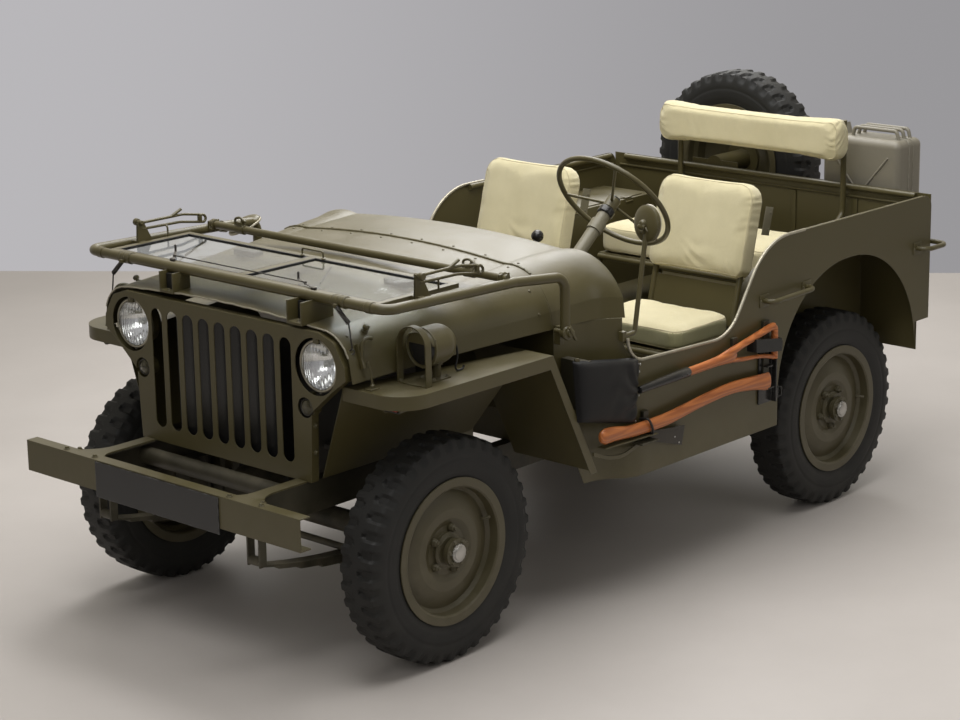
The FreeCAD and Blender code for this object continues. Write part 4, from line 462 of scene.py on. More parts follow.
window = glass_finish("window_pane", rgb(0.93, 0.97, 0.95), 0.01)
lens_clear = glass_finish("lamp_lens", rgb(0.95, 0.96, 0.95), 0.02, flutes=22.0)
lens_red = glass_finish("red_lens", rgb(0.62, 0.015, 0.01), 0.12, clear=0.35)
lens_white = glass_finish("white_lens", rgb(0.85, 0.85, 0.8), 0.15, clear=0.3)
chrome = metal_finish("polished_reflector", rgb(0.80, 0.80, 0.79), rgb(0.88, 0.88, 0.87), rough=0.10,
                      metallic=1.0, edge_wear_and_highlight=0.0, top_dust=0.05, road=0.0, bump=0.00004)
print("finishes:", len(bpy.data.materials))

# %% [markdown]
# ## Finishes for the ready-made solids
# Each solid gets its finish by name, and all that aren't named are sprayed olive. The tyres,
# cushions and a few others are replaced further down, by pieces with more form.

# %% Dress the solids
FINISHES = {
    olive_under_painted_shade: "frame leaf_springs front_axle rear_axle tie_rod knuckle_left knuckle_right propshafts "
                 "fuel_tank tool_brackets",
    column_paint: "steering_column",
    rim_paint: "rim_front_left rim_front_right rim_rear_left rim_rear_right spare_rim",
    cast_metal: "powertrain",
    black_enamel: "radiator",
    dark_steel: "exhaust controls",
    black_plate: "number_plate",
    window: "windscreen_glass",
    rubber: "tyre_front_left tyre_front_right tyre_rear_left tyre_rear_right spare_tyre",
    canvas: "front_seat_cushions rear_seat_cushions",
    can_steel: "jerry_can",
    wood: "shovel axe_handle",
    cover_cloth: "tool_cover",
}
finish_of = {name: finish for finish, names in FINISHES.items() for name in names.split()}
for name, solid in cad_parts.items():
    solid.data.materials.clear()
    solid.data.materials.append(finish_of.get(name, olive))
print("solids dressed:", len(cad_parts))

# %% [markdown]
# ## A workbench for small parts
# Most trim is made of a few kinds of form: a rounded block, a form turned on a lathe, a bent rod,
# a bolt. One class collects such forms in a single mesh, with real bevels, and then hands the
# piece over: it sets its finish and the body it rides on. Sizes are metres from
# the middle of the front axle, so the numbers can be read off the car.

# %% Workbench
def frame_along(along):
    """Two directions square to an axis."""
    along = along.normalized()
    side = along.cross(Vector((0, 0, 1)))
    if side.length < 0.01:
        side = along.cross(Vector((0, 1, 0)))
    side.normalize()
    return side, side.cross(along)


def rounded_path(points, bend, steps=6):
    """Points along straight runs whose corners are rounded."""
    points = [Vector(spot) for spot in points]
    result = [points[0]]
    for before, corner, after in zip(points, points[1:], points[2:]):
        back, ahead = (before - corner), (after - corner)
        reach = min(bend, back.length * 0.45, ahead.length * 0.45)
        first, last = corner + back.normalized() * reach, corner + ahead.normalized() * reach
        for step in range(steps + 1):
            share = step / steps
            result.append(first.lerp(corner, share).lerp(corner.lerp(last, share), share))
    result.append(points[-1])
    return result


class Bench:
    """Forms collected for one piece."""

    def __init__(self):
        self.mesh = bmesh.new()

    def block(self, low, high, bevel=0.0015, turn=None, about=None):
        """Box between two corners with rounded edges, turned about a point if asked."""
        low, high = Vector(low), Vector(high)
        made = bmesh.ops.create_cube(self.mesh, size=1.0)["verts"]
        size, centre = high - low, (high + low) / 2
        bmesh.ops.scale(self.mesh, vec=size, verts=made)
        bmesh.ops.translate(self.mesh, vec=centre, verts=made)
        if bevel:
            edges = list({edge for vert in made for edge in vert.link_edges})
            bevelled = bmesh.ops.bevel(self.mesh, geom=edges, offset=min(bevel, min(size) * 0.45), segments=2,
                                       profile=0.7, affect="EDGES")
            made = bevelled["verts"]
        if turn:
            bmesh.ops.rotate(self.mesh, cent=Vector(about) if about else centre, matrix=turn, verts=made)
        return made

    def turned(self, start, along, profile, sides=24, close=True):
        """Form turned round an axis through (distance, radius) pairs; a ring if the last is the first."""
        start, along = Vector(start), Vector(along).normalized()
        side, lift = frame_along(along)
        rings = []
        for number, (distance, radius) in enumerate(profile):
            if number and number == len(profile) - 1 and profile[0] == profile[-1]:
                rings.append(rings[0])
                close = False
                break
            centre = start + along * distance
            if radius < 1e-6:
                rings.append([self.mesh.verts.new(centre)])
                continue
            rings.append(self.ring(centre, side, lift, radius, sides))
        for first, second in zip(rings, rings[1:]):
            if len(first) == 1 and len(second) == 1:
                continue
            for step in range(sides):
                after = (step + 1) % sides
                if len(first) == 1:
                    self.mesh.faces.new((first[0], second[step], second[after]))
                elif len(second) == 1:
                    self.mesh.faces.new((first[step], second[0], first[after]))
                else:
                    self.mesh.faces.new((first[step], second[step], second[after], first[after]))
        if close:
            for ring in (rings[0], rings[-1]):
                if len(ring) > 2:
                    self.mesh.faces.new(ring)
        return [vert for ring in rings for vert in ring]

    def skin(self, rings, closed=False):
        """Faces between rings of equal count, with end faces unless the last ring meets the first."""
        pairs = list(zip(rings, rings[1:])) + ([(rings[-1], rings[0])] if closed else [])
        for first, second in pairs:
            for step, after in enumerate([*range(1, len(first)), 0]):
                self.mesh.faces.new((first[step], second[step], second[after], first[after]))
        if not closed:
            self.mesh.faces.new(rings[0])
            self.mesh.faces.new(rings[-1])

    def ring(self, centre, side, lift, radius, sides):
        """Ring of points round a centre."""
        return [self.mesh.verts.new(centre + (side * math.cos(angle) + lift * math.sin(angle)) * radius)
                for angle in (math.tau * step / sides for step in range(sides))]

    def rod(self, points, radius, bend=0.02, sides=10, closed=False, taper=None):
        """Round rod along a path with rounded corners."""
        path = [Vector(spot) for spot in points] if closed else rounded_path(points, bend)
        count = len(path)
        rings = []
        side = None
        for index, spot in enumerate(path):
            ahead = path[(index + 1) % count] if closed or index < count - 1 else spot
            behind = path[index - 1] if closed or index else spot
            along = (ahead - behind).normalized()
            if side is None:
                side, lift = frame_along(along)
            else:
                side = (side - along * side.dot(along)).normalized()
                lift = side.cross(along)
            size = radius if taper is None else radius * taper(index / (count - 1))
            rings.append(self.ring(spot, side, lift, size, sides))
        self.skin(rings, closed)

    def hoop(self, centre, along, radius, grip, turns=48, sides=10):
        """Ring of round wire."""
        side, lift = frame_along(Vector(along))
        centre = Vector(centre)
        self.rod([centre + (side * math.cos(angle) + lift * math.sin(angle)) * radius
                  for angle in (math.tau * step / turns for step in range(turns))], grip, sides=sides, closed=True)

    def bolt(self, at, along, size=0.013, height=0.008, washer=True):
        """Hexagon head with a chamfer, on its washer."""
        half = size * 0.577
        if washer:
            self.turned(at, along, [(-0.001, half * 1.35), (0.0012, half * 1.45), (0.002, half * 1.3)], 18)
        self.turned(at, along, [(0.0, half), (height * 0.75, half), (height, half * 0.8)], 6)

    def rivet(self, at, along, size=0.006):
        """Low round head."""
        self.turned(at, along, [(-0.001, size), (size * 0.25, size * 0.92), (size * 0.5, size * 0.55),
                                (size * 0.6, 0.0)], 10)

    def strip(self, points, across, width, gauge):
        """Flat strip along points; across gives its width's direction."""
        across = Vector(across).normalized()
        path = [Vector(spot) for spot in points]
        rings = []
        for index, spot in enumerate(path):
            ahead = path[min(index + 1, len(path) - 1)] - path[max(index - 1, 0)]
            up = across.cross(ahead).normalized()
            rings.append([self.mesh.verts.new(spot + across * a * width / 2 + up * b * gauge / 2)
                          for a, b in ((-1, -1), (1, -1), (1, 1), (-1, 1))])
        self.skin(rings)

    def sheet(self, outline, along, thickness, bevel=0.0):
        """Flat plate of some thickness from the corners of its outline."""
        along = Vector(along).normalized()
        first = [self.mesh.verts.new(Vector(corner)) for corner in outline]
        second = [self.mesh.verts.new(Vector(corner) + along * thickness) for corner in outline]
        count = len(first)
        self.mesh.faces.new(first)
        self.mesh.faces.new(list(reversed(second)))
        for step in range(count):
            after = (step + 1) % count
            self.mesh.faces.new((first[step], first[after], second[after], second[step]))
        if bevel:
            edges = list({edge for vert in first + second for edge in vert.link_edges})
            bmesh.ops.bevel(self.mesh, geom=edges, offset=bevel, segments=2, profile=0.7, affect="EDGES")

    def spring(self, start, end, radius, wire, turns, sides=6):
        """Coil spring between two points."""
        start, end = Vector(start), Vector(end)
        along = end - start
        side, lift = frame_along(along)
        steps = turns * 10
        self.rod([start + along * (step / steps)
                  + (side * math.cos(math.tau * step / 10) + lift * math.sin(math.tau * step / 10)) * radius
                  for step in range(steps + 1)], wire, bend=0.0, sides=sides)

    def meshed(self, name):
        """Mesh of the collected forms, with its faces turned outward."""
        bmesh.ops.recalc_face_normals(self.mesh, faces=self.mesh.faces)
        data = bpy.data.meshes.new(name)
        self.mesh.to_mesh(data)
        self.mesh.free()
        return data

    def done(self, name, body, finish, slot, sharp=35):
        """Turn the collected forms into a piece of the car."""
        return settled(self.meshed(name), name, body, finish, sharp)


def settled(data, name, body, finish, sharp=35):
    """Put a finished mesh in the scene, on its body and with its finish."""
    data.transform(Matrix.Translation(car(0, 0, 0)))
    piece = bpy.data.objects.new(name, data)
    scene.collection.objects.link(piece)
    data.shade_smooth()
    if sharp:
        data.set_sharp_from_angle(angle=math.radians(sharp))
    data.materials.append(finish)
    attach(piece, body)
    return piece


print("workbench ready")

# %% [markdown]
# ## Tyres with their lugs
# The tyre has a bold tread: round-ended notches run in from both shoulders, staggered from side
# to side, and a plain rib goes round the middle. It could be cut with hundreds of tools, but the
# mesh is easier to make directly: a ring of cross-sections, where the points of a section sink
# wherever a notch passes. One mesh serves all five wheels.

# %% Tyre mesh
RADIUS = 0.355
NOTCHES, NOTCH_SHARE, NOTCH_DEPTH = 38, 0.34, 0.0085
NOTCH_FOOT, NOTCH_FULL = 0.318, 0.022
RIB_HALF, NOTCH_INNER, NOTCH_END = 0.0105, 0.026, 0.0165
TYRE_SECTION = [
    (0.0664, 0.2078), (0.0666, 0.222), (0.0672, 0.232), (0.0705, 0.238), (0.0708, 0.243), (0.0735, 0.250),
    (0.0762, 0.262), (0.0768, 0.280), (0.0768, 0.286), (0.0758, 0.288), (0.0758, 0.294), (0.0766, 0.297),
    (0.0760, 0.308), (0.0748, 0.318), (0.0738, 0.324), (0.0722, 0.331), (0.0700, 0.339), (0.0678, 0.345),
    (0.0650, 0.3495), (0.0600, 0.3528), (0.0520, 0.3540), (0.0400, 0.3546), (0.0260, 0.3549),
    (0.0170, 0.3550), (0.0130, 0.3550), (0.0100, 0.3550), (0.0050, 0.3550),
]


def notch_at(turn_share, across, radius):
    """How deep the tread is cut at a place: 0 is uncut and 1 is a notch's floor."""
    side_shift = 0.0 if across > 0 else 0.5
    share = (turn_share * NOTCHES + side_shift) % 1.0
    off = abs(share - 0.5) * 2
    reach = abs(across)
    if radius < NOTCH_FOOT or reach < RIB_HALF:
        return 0.0
    half_share = NOTCH_SHARE
    if reach < NOTCH_INNER:
        half_share *= math.sqrt(max(0.0, 1 - ((NOTCH_INNER - reach) / NOTCH_END) ** 2))
    return min(1.0, (radius - NOTCH_FOOT) / NOTCH_FULL) if off < half_share else 0.0


def tyre_mesh():
    """Ring of sections with the notches sunk in."""
    stations = []
    for notch in range(NOTCHES * 2):
        base = notch / (NOTCHES * 2)
        width = NOTCH_SHARE / (NOTCHES * 2)
        for share in (-1.0, -0.86, -0.30, 0.30, 0.86, 1.0):
            stations.append(base + share * width * 0.999 + 0.5 / NOTCHES)
    section = TYRE_SECTION + [(-across, radius) for across, radius in reversed(TYRE_SECTION)]
    section.insert(len(TYRE_SECTION), (0.0, RADIUS))
    made = bmesh.new()
    rings = []
    for turn_share in stations:
        angle = math.tau * turn_share
        ring = []
        for across, radius in section:
            cut = notch_at(turn_share, across, radius)
            sunk = radius - NOTCH_DEPTH * cut
            inward = 0.0045 * cut * (1 if abs(across) > 0.064 else 0) * (1 if across > 0 else -1)
            ring.append(made.verts.new((math.cos(angle) * sunk, across - inward, math.sin(angle) * sunk)))
        rings.append(ring)
    for first, second in zip(rings, rings[1:] + rings[:1]):
        for step in range(len(section) - 1):
            made.faces.new((first[step], first[step + 1], second[step + 1], second[step]))
    bmesh.ops.recalc_face_normals(made, faces=made.faces)
    data = bpy.data.meshes.new("lugged_tyre")
    made.to_mesh(data)
    made.free()
    return data


tyre_form = tyre_mesh()
print("tyre:", len(tyre_form.polygons), "faces")

# %% Tyres on their wheels
WHEELBASE, TRACK_HALF, WHEEL_HIGH = 2.032, 0.612, 0.355
SPARE = (-(2.755 - 0.077), -0.245, 1.074)
WHEELS = {
    "front_left": ((0, TRACK_HALF, WHEEL_HIGH), 0), "front_right": ((0, -TRACK_HALF, WHEEL_HIGH), 180),
    "rear_left": ((-WHEELBASE, TRACK_HALF, WHEEL_HIGH), 0),
    "rear_right": ((-WHEELBASE, -TRACK_HALF, WHEEL_HIGH), 180),
    "spare": (SPARE, 90),
}


def wheel_turn(corner):
    """Where a wheel's own frame lies on the car."""
    place_of, degrees = WHEELS[corner]
    return Matrix.Translation(place_of) @ Matrix.Rotation(math.radians(degrees), 4, "Z")


def body_of(corner):
    """Body that a wheel's trim rides on."""
    return "car" if corner == "spare" else corner + "_wheel"


for corner in WHEELS:
    data = tyre_form.copy()
    data.transform(Matrix.Rotation(0.021 * len(corner), 4, "Y"))
    data.transform(wheel_turn(corner))
    piece = settled(data, "lugged_tyre_" + corner, body_of(corner), rubber, 40)
    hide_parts("spare_tyre" if corner == "spare" else "tyre_" + corner)

# %% [markdown]
# ## Wheel nuts, hub ends and valves
# Five nuts hold each wheel, and the hub's end shows six bolts and a ribbed cap. They turn with the
# wheel, so they are made in the wheel's own frame, with +Y outward, and then moved as one mesh.

# %% Hub trim
def hub_trim(spare):
    """Nuts, hub bolts and valve round the Y axis."""
    bench = Bench()
    for number in range(5):
        angle = math.tau * (number + 0.25) / 5
        spot = Vector((math.cos(angle) * 0.0695, 0.041, math.sin(angle) * 0.0695))
        if not spare:
            bench.turned(spot, (0, 1, 0), [(-0.004, 0.013), (0.004, 0.0135), (0.009, 0.0125)], 18)
            bench.bolt(spot + Vector((0, 0.006, 0)), (0, 1, 0), 0.021, 0.012, washer=False)
            bench.turned(spot + Vector((0, 0.016, 0)), (0, 1, 0), [(0, 0.0062), (0.007, 0.0062), (0.009, 0.005)], 12)
        else:
            bench.hoop(spot, (0, 1, 0), 0.0095, 0.0018, 18, 6)
    if not spare:
        for number in range(6):
            angle = math.tau * (number + 0.5) / 6
            spot = (math.cos(angle) * 0.036, 0.0868, math.sin(angle) * 0.036)
            bench.bolt(spot, (0, 1, 0), 0.012, 0.007)
        bench.turned((0, 0.066, 0), (0, 1, 0), [(0, 0.040), (0.002, 0.043), (0.010, 0.043), (0.012, 0.040)], 36)
        bench.turned((0, 0.048, 0), (0, 1, 0), [(0, 0.058), (0.003, 0.054), (0.005, 0.047), (0.008, 0.046)], 36)
    bench.rod([(0.168, 0.030, 0.0), (0.170, 0.044, 0.0), (0.182, 0.058, 0.0)], 0.0036, 0.01)
    bench.turned((0.1775, 0.0525, 0), (0.6, 0.8, 0), [(0, 0.0052), (0.012, 0.0052), (0.014, 0.0035)], 12)
    return bench


for corner in WHEELS:
    bench = hub_trim(corner == "spare")
    bmesh.ops.transform(bench.mesh, matrix=wheel_turn(corner) @ Matrix.Rotation(0.35 * len(corner), 4, "Y"),
                        verts=bench.mesh.verts)
    bench.done("wheel_nuts_" + corner, body_of(corner), rim_paint, "olive_paint")

for corner in list(WHEELS)[:4]:
    bench = Bench()
    bench.turned((0, 0.0915, 0), (0, 1, 0), [(-0.012, 0.028), (0.0, 0.029), (0.004, 0.028), (0.0042, 0.0225),
                                             (0.0070, 0.022), (0.0085, 0.019), (0.0088, 0.0)], 30)
    for number in range(16):
        angle = math.tau * number / 16
        at = Vector((math.cos(angle) * 0.0275, 0.0875, math.sin(angle) * 0.0275))
        bench.turned(at, (0, 1, 0), [(-0.008, 0.0024), (0.007, 0.0024), (0.0085, 0.0015)], 6)
    bmesh.ops.transform(bench.mesh, matrix=wheel_turn(corner), verts=bench.mesh.verts)
    bench.done("hub_cap_" + corner, body_of(corner), bare_steel, "bare_steel")
print("wheels trimmed")

# %% [markdown]
# ## Canvas cushions
# Each seat has two stuffed canvas cushions: a flat box under the sitter and a thicker one slipped
# over the back's tube. A modelled block would look like soap. Here a slightly smaller block is
# remeshed evenly and blown up from inside by a short cloth simulation, whose travel is capped, so
# that the faces crown and the sides pull in between the corners. Gathers and seams come after,
# because remeshing would lose them.

# %% Cushion helpers
VOXEL = 0.012
TRAVEL_CAP = 0.011


def rounded_outline(width, height, low_radius, high_radius, steps=7):
    """Corners of a rectangle with rounded lower and upper corners."""
    result = []
    for sign_u, sign_v, start, radius in ((1, 0, -90, low_radius), (1, 1, 0, high_radius),
                                          (-1, 1, 90, high_radius), (-1, 0, 180, low_radius)):
        centre_u = sign_u * (width / 2 - radius)
        centre_v = height - radius if sign_v else radius
        for step in range(steps + 1):
            angle = math.radians(start + 90 * step / steps)
            result.append((centre_u + radius * math.cos(angle), centre_v + radius * math.sin(angle)))
    return result


def evaluated(piece):
    """Copy of a piece's mesh with its modifiers applied."""
    graph = bpy.context.evaluated_depsgraph_get()
    return bpy.data.meshes.new_from_object(piece.evaluated_get(graph))


def with_modifier(data, kind, **values):
    """Mesh after one modifier."""
    piece = bpy.data.objects.new("working", data)
    scene.collection.objects.link(piece)
    change = piece.modifiers.new("change", kind)
    for name, value in values.items():
        setattr(change, name, value)
    result = evaluated(piece)
    bpy.data.objects.remove(piece)
    return result


def blown_up(data):
    """Mesh after a short cloth simulation with air pressed in, its travel capped."""
    piece = bpy.data.objects.new("working", data)
    scene.collection.objects.link(piece)
    cloth = piece.modifiers.new("air", "CLOTH")
    values = cloth.settings
    values.quality = 3
    values.mass = 0.3
    values.tension_stiffness = values.compression_stiffness = 22
    values.shear_stiffness = 6
    values.bending_stiffness = 0.4
    values.use_pressure = True
    values.uniform_pressure_force = 4.0
    values.effector_weights.gravity = 0.0
    cloth.point_cache.frame_start, cloth.point_cache.frame_end = 1, 20
    for number in range(1, 21):
        scene.frame_set(number)
    swollen = evaluated(piece)
    rest = [vert.co.copy() for vert in data.vertices]
    for vert, start in zip(swollen.vertices, rest):
        travel = vert.co - start
        if travel.length > TRAVEL_CAP:
            vert.co = start + travel.normalized() * TRAVEL_CAP
    bpy.data.objects.remove(piece)
    scene.frame_set(1)
    return swollen


def cushion_mesh(width, height, thickness, low_radius, high_radius, gathers):
    """Cushion lying flat: width along X, height along Y, front face up, middle of thickness at 0."""
    shrink = 0.008
    bench = Bench()
    outline = [(u, v + shrink) for u, v in
               rounded_outline(width - 2 * shrink, height - 2 * shrink, low_radius, high_radius)]
    half = thickness / 2 - shrink
    bench.sheet([(u, v, -half) for u, v in outline], (0, 0, 1), 2 * half, bevel=0.014)
    data = bench.meshed("cushion")
    data = with_modifier(data, "REMESH", mode="VOXEL", voxel_size=VOXEL)
    data = blown_up(data)
    data = with_modifier(data, "SUBSURF", levels=1, render_levels=1)
    for vert in data.vertices:
        spot, normal = vert.co, vert.normal
        push = 0.0
        for centre, reach, waves, depth, along in gathers:
            near = math.exp(-((spot.x - centre[0]) ** 2 + (spot.y - centre[1]) ** 2) / reach ** 2)
            if near > 0.02:
                phase = (spot.x * along[0] + spot.y * along[1] + spot.z * along[2]) * waves
                push += near * depth * math.sin(phase + 3 * math.sin(spot.x * 31 + spot.y * 17))
        vert.co = spot + normal * push
    return data


def seam_cord(surface, path, radius, lift):
    """Thin sewn cord that lies on a surface along a closed path."""
    path = [Vector(spot) for spot in path]
    laid = []
    for start, end in zip(path, path[1:] + path[:1]):
        pieces = max(1, int((end - start).length / 0.012))
        for step in range(pieces):
            _, near, normal, _ = surface.closest_point_on_mesh(start.lerp(end, step / pieces))
            laid.append(near + normal * lift)
    bench = Bench()
    bench.rod([(laid[index - 1] + laid[index] * 2 + laid[(index + 1) % len(laid)]) / 4
               for index in range(len(laid))], radius, sides=6, closed=True)
    return bench


print("cushion helpers ready")

# %% Front and rear cushions
SEAT_REAR, SEAT_LENGTH, SEAT_LOW, SEAT_THICK, SEAT_WIDTH = -1.570, 0.345, 0.700, 0.085, 0.450
BACK_HEIGHT, BACK_THICK, BACK_LEAN = 0.360, 0.086, math.radians(15)
BACK_FOOT = Vector((-1.6627, 0, 0.865))
DRIVER, PASSENGER_AHEAD = 0.360, 0.130
SIZES = {"seat": (SEAT_WIDTH, SEAT_LENGTH, SEAT_THICK, 0.055, 0.045),
         "back": (SEAT_WIDTH, BACK_HEIGHT, BACK_THICK, 0.035, 0.062),
         "bench": (0.81, 0.37, 0.110, 0.045, 0.045), "rest": (0.86, 0.170, 0.090, 0.030, 0.030)}


def lying(middle, low):
    """Front edge of a cushion that lies flat with its face up and its front to the front of the car."""
    turn = Matrix(((0, 1, 0, 0), (-1, 0, 0, 0), (0, 0, 1, 0), (0, 0, 0, 1)))
    return Matrix.Translation(Vector((middle[0], middle[1], low))) @ turn


def leaning(foot, side, lean, thickness):
    """A cushion that stands with its face to the front of the car, leaning back."""
    turn = Matrix(((0, 0, 1, 0), (1, 0, 0, 0), (0, 1, 0, 0), (0, 0, 0, 1)))
    return (Matrix.Translation(Vector((foot.x, side, foot.z))) @ Matrix.Rotation(-lean, 4, "Y")
            @ Matrix.Translation(Vector((thickness / 2, 0, 0))) @ turn)


SEAT_GATHERS = [((0.18, 0.30), 0.07, 200, 0.0006, (1, 0.6, 0.4)), ((-0.1, 0.1), 0.10, 90, 0.0006, (0.4, 1, 0))]
BACK_GATHERS = [
    ((0.225, 0.29), 0.035, 260, 0.0022, (0, 1, 0.2)), ((0.225, 0.20), 0.035, 230, 0.0016, (0, 1, 0)),
    ((-0.225, 0.29), 0.035, 260, 0.0022, (0, 1, 0.2)), ((-0.225, 0.2), 0.035, 230, 0.0016, (0, 1, 0)),
    ((0.02, 0.06), 0.060, 130, 0.0018, (0.5, 1, 0)), ((0.15, 0.03), 0.04, 170, 0.0012, (1, 0.4, 0)),
]
REST_GATHERS = [((0.41, 0.08), 0.035, 250, 0.0020, (0.2, 1, 1)), ((-0.41, 0.08), 0.035, 250, 0.0020, (0.2, 1, 1)),
                ((0.15, 0.1), 0.2, 60, 0.0006, (1, 0.3, 0)), ((-0.2, 0.1), 0.2, 70, 0.0006, (1, 0.2, 0))]

GATHERS = {"seat": SEAT_GATHERS, "back": BACK_GATHERS, "bench": SEAT_GATHERS, "rest": REST_GATHERS}
FORMS = {kind: cushion_mesh(*size, GATHERS[kind]) for kind, size in SIZES.items()}
FRONT = (("driver", DRIVER, 0.0), ("passenger", -DRIVER, PASSENGER_AHEAD))
CUSHIONS = [(who + "_seat_cushion", lying((SEAT_REAR + ahead, side), SEAT_LOW + SEAT_THICK / 2), "seat")
            for who, side, ahead in FRONT]
CUSHIONS += [(who + "_back_cushion", leaning(BACK_FOOT + Vector((ahead, 0, 0)), side, BACK_LEAN, BACK_THICK), "back")
             for who, side, ahead in FRONT]
CUSHIONS += [("rear_seat_cushion", lying((-2.330, 0), 0.855), "bench"),
             ("rear_rest_cushion", leaning(Vector((-2.4716, 0, 1.168)), 0, 0, 0.090), "rest")]
for name, turn, kind in CUSHIONS:
    width, height, thickness, low_radius, high_radius = SIZES[kind]
    data = FORMS[kind].copy()
    flat = bpy.data.objects.new("working", FORMS[kind])
    scene.collection.objects.link(flat)
    bpy.context.view_layer.update()
    inset = 0.010
    path = [(u, v + inset) for u, v in
            rounded_outline(width - 2 * inset, height - 2 * inset, low_radius, high_radius)]
    for side, level in (("front", thickness / 2 - inset), ("rear", -thickness / 2 + inset)):
        seam = seam_cord(flat, [(u, v, level * 1.3) for u, v in path], 0.0022, -0.0003)
        bmesh.ops.transform(seam.mesh, matrix=turn, verts=seam.mesh.verts)
        seam.done(name + "_" + side + "_seam", "car", canvas_edge, "canvas", 60)
    bpy.data.objects.remove(flat)
    data.transform(turn)
    piece = settled(data, name, "car", canvas, 0)
    # Faces that don't look up take the darker canvas as painted shade.
    if kind == "seat":
        piece.data.materials.append(canvas_painted_shade)
        for face in piece.data.polygons:
            face.material_index = int(face.normal.z < 0.45)
    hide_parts("front_seat_cushions" if kind in ("seat", "back") else "rear_seat_cushions")
print("cushions:", [name for name, turn, kind in CUSHIONS])

# %% [markdown]
# ## Headlamps
# Each headlamp is a painted bowl with a bright rim, a silvered dish inside and a domed glass. The
# solid is a plain drum, so it is replaced: the dish and the glass are turned on the same axis,
# and light that goes through the glass comes back from the dish, as it does on the car.

# %% Headlamps
LAMP_SIDE, LAMP_HIGH, LAMP_BACK = 0.423, 0.954, 0.208
shells, rims, dishes, glasses = Bench(), Bench(), Bench(), Bench()
for side in (1, -1):
    back = Vector((LAMP_BACK, side * LAMP_SIDE, LAMP_HIGH))
    ahead = (1, 0, 0)
    shells.turned(back, ahead, [(0.0, 0.0), (0.002, 0.026), (0.010, 0.048), (0.026, 0.066), (0.048, 0.0755),
                                (0.066, 0.0785), (0.070, 0.0785), (0.070, 0.0765), (0.048, 0.0735),
                                (0.026, 0.064), (0.010, 0.045), (0.004, 0.0)], 48)
    shells.turned(back, ahead, [(-0.016, 0.010), (-0.014, 0.014), (0.004, 0.016)], 16)
    shells.block((0.222, side * LAMP_SIDE - 0.012, 1.024), (0.300, side * LAMP_SIDE + 0.012, 1.030), 0.002)
    shells.block((0.294, side * LAMP_SIDE - 0.012, 1.026), (0.299, side * LAMP_SIDE + 0.012, 1.049), 0.001)
    shells.bolt((0.2995, side * LAMP_SIDE, 1.041), ahead, 0.010, 0.003)
    rims.turned(back, ahead, [(0.066, 0.0800), (0.072, 0.0812), (0.079, 0.0812), (0.0835, 0.0795),
                              (0.0850, 0.0765), (0.0840, 0.0735), (0.080, 0.0725), (0.078, 0.0735),
                              (0.070, 0.0770), (0.066, 0.0800)], 56)
    rims.bolt(back + Vector((0.076, 0, -0.0825)), (0, 0, -1), 0.007, 0.004, washer=False)
    dish = [(0.012, 0.0)] + [(0.012 + 0.060 * (step / 14) ** 2, 0.071 * step / 14) for step in range(1, 15)]
    dish += [(0.0735, 0.0735), (0.0715, 0.0735)]
    dish += [(0.010 + 0.060 * (step / 7) ** 2, 0.0715 * step / 7) for step in range(6, 0, -1)] + [(0.0105, 0.0)]
    dishes.turned(back, ahead, dish, 48)
    outer = [(0.0835 + 0.0105 * (1 - (share / 8) ** 2), 0.0715 * share / 8) for share in range(9)]
    inner = [(0.0805 + 0.0105 * (1 - (share / 8) ** 2), 0.0695 * share / 8) for share in range(8, -1, -1)]
    glasses.turned(back, ahead, outer + [(0.0800, 0.0735), (0.0775, 0.0730), (0.0790, 0.0700)] + inner, 56)
shell = shells.done("headlamp_bowls", "car", olive, "olive_paint")
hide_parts("headlamps")
# The rims' brightness is partly worn metal and partly a painted highlight.
rims.done("headlamp_rims", "car", worn_edge_and_highlight, "bare_steel")
dishes.done("headlamp_dishes", "car", chrome, "bare_steel")
glasses.done("headlamp_glasses", "car", lens_clear, "lamp_glass", 50)

bulbs = Bench()
for side in (1, -1):
    at = Vector((LAMP_BACK + 0.014, side * LAMP_SIDE, LAMP_HIGH))
    bulbs.turned(at, (1, 0, 0), [(0.0, 0.009), (0.014, 0.009), (0.018, 0.0075), (0.024, 0.0105),
                                 (0.031, 0.0125), (0.038, 0.0110), (0.043, 0.006), (0.0445, 0.0)], 20)
bulbs.done("headlamp_bulbs", "car", lens_white, "lamp_glass")
print("two headlamps: bowl, rim, dish, glass and bulb")

# %% [markdown]
# ## Small lamps
# Behind two round holes in the grille sit marker lamps, a lamp with a red and white glass hangs
# under each fender inside a wire guard, and two round lamps are on the rear. Their drums stay as
# the solids have them. Each gets its rim and its glass, which stand a few millimetres proud.

# %% Marker, fender and tail lamps
TURNED_LENS = [(-0.002, 1.0), (0.003, 1.0), (0.006, 0.86), (0.0085, 0.6), (0.0100, 0.3), (0.0105, 0.0)]


def round_lens(bench, at, along, radius, depth=1.0):
    """Small domed glass on a lamp's face."""
    bench.turned(at, along, [(distance * depth, share * radius) for distance, share in TURNED_LENS], 28)


def lens_rim(bench, at, along, radius):
    """Narrow ring round a glass."""
    bench.turned(at, along, [(-0.004, radius), (0.0, radius + 0.003), (0.004, radius + 0.003),
                             (0.0055, radius + 0.001), (0.004, radius - 0.001), (-0.004, radius - 0.001),
                             (-0.004, radius)], 32)


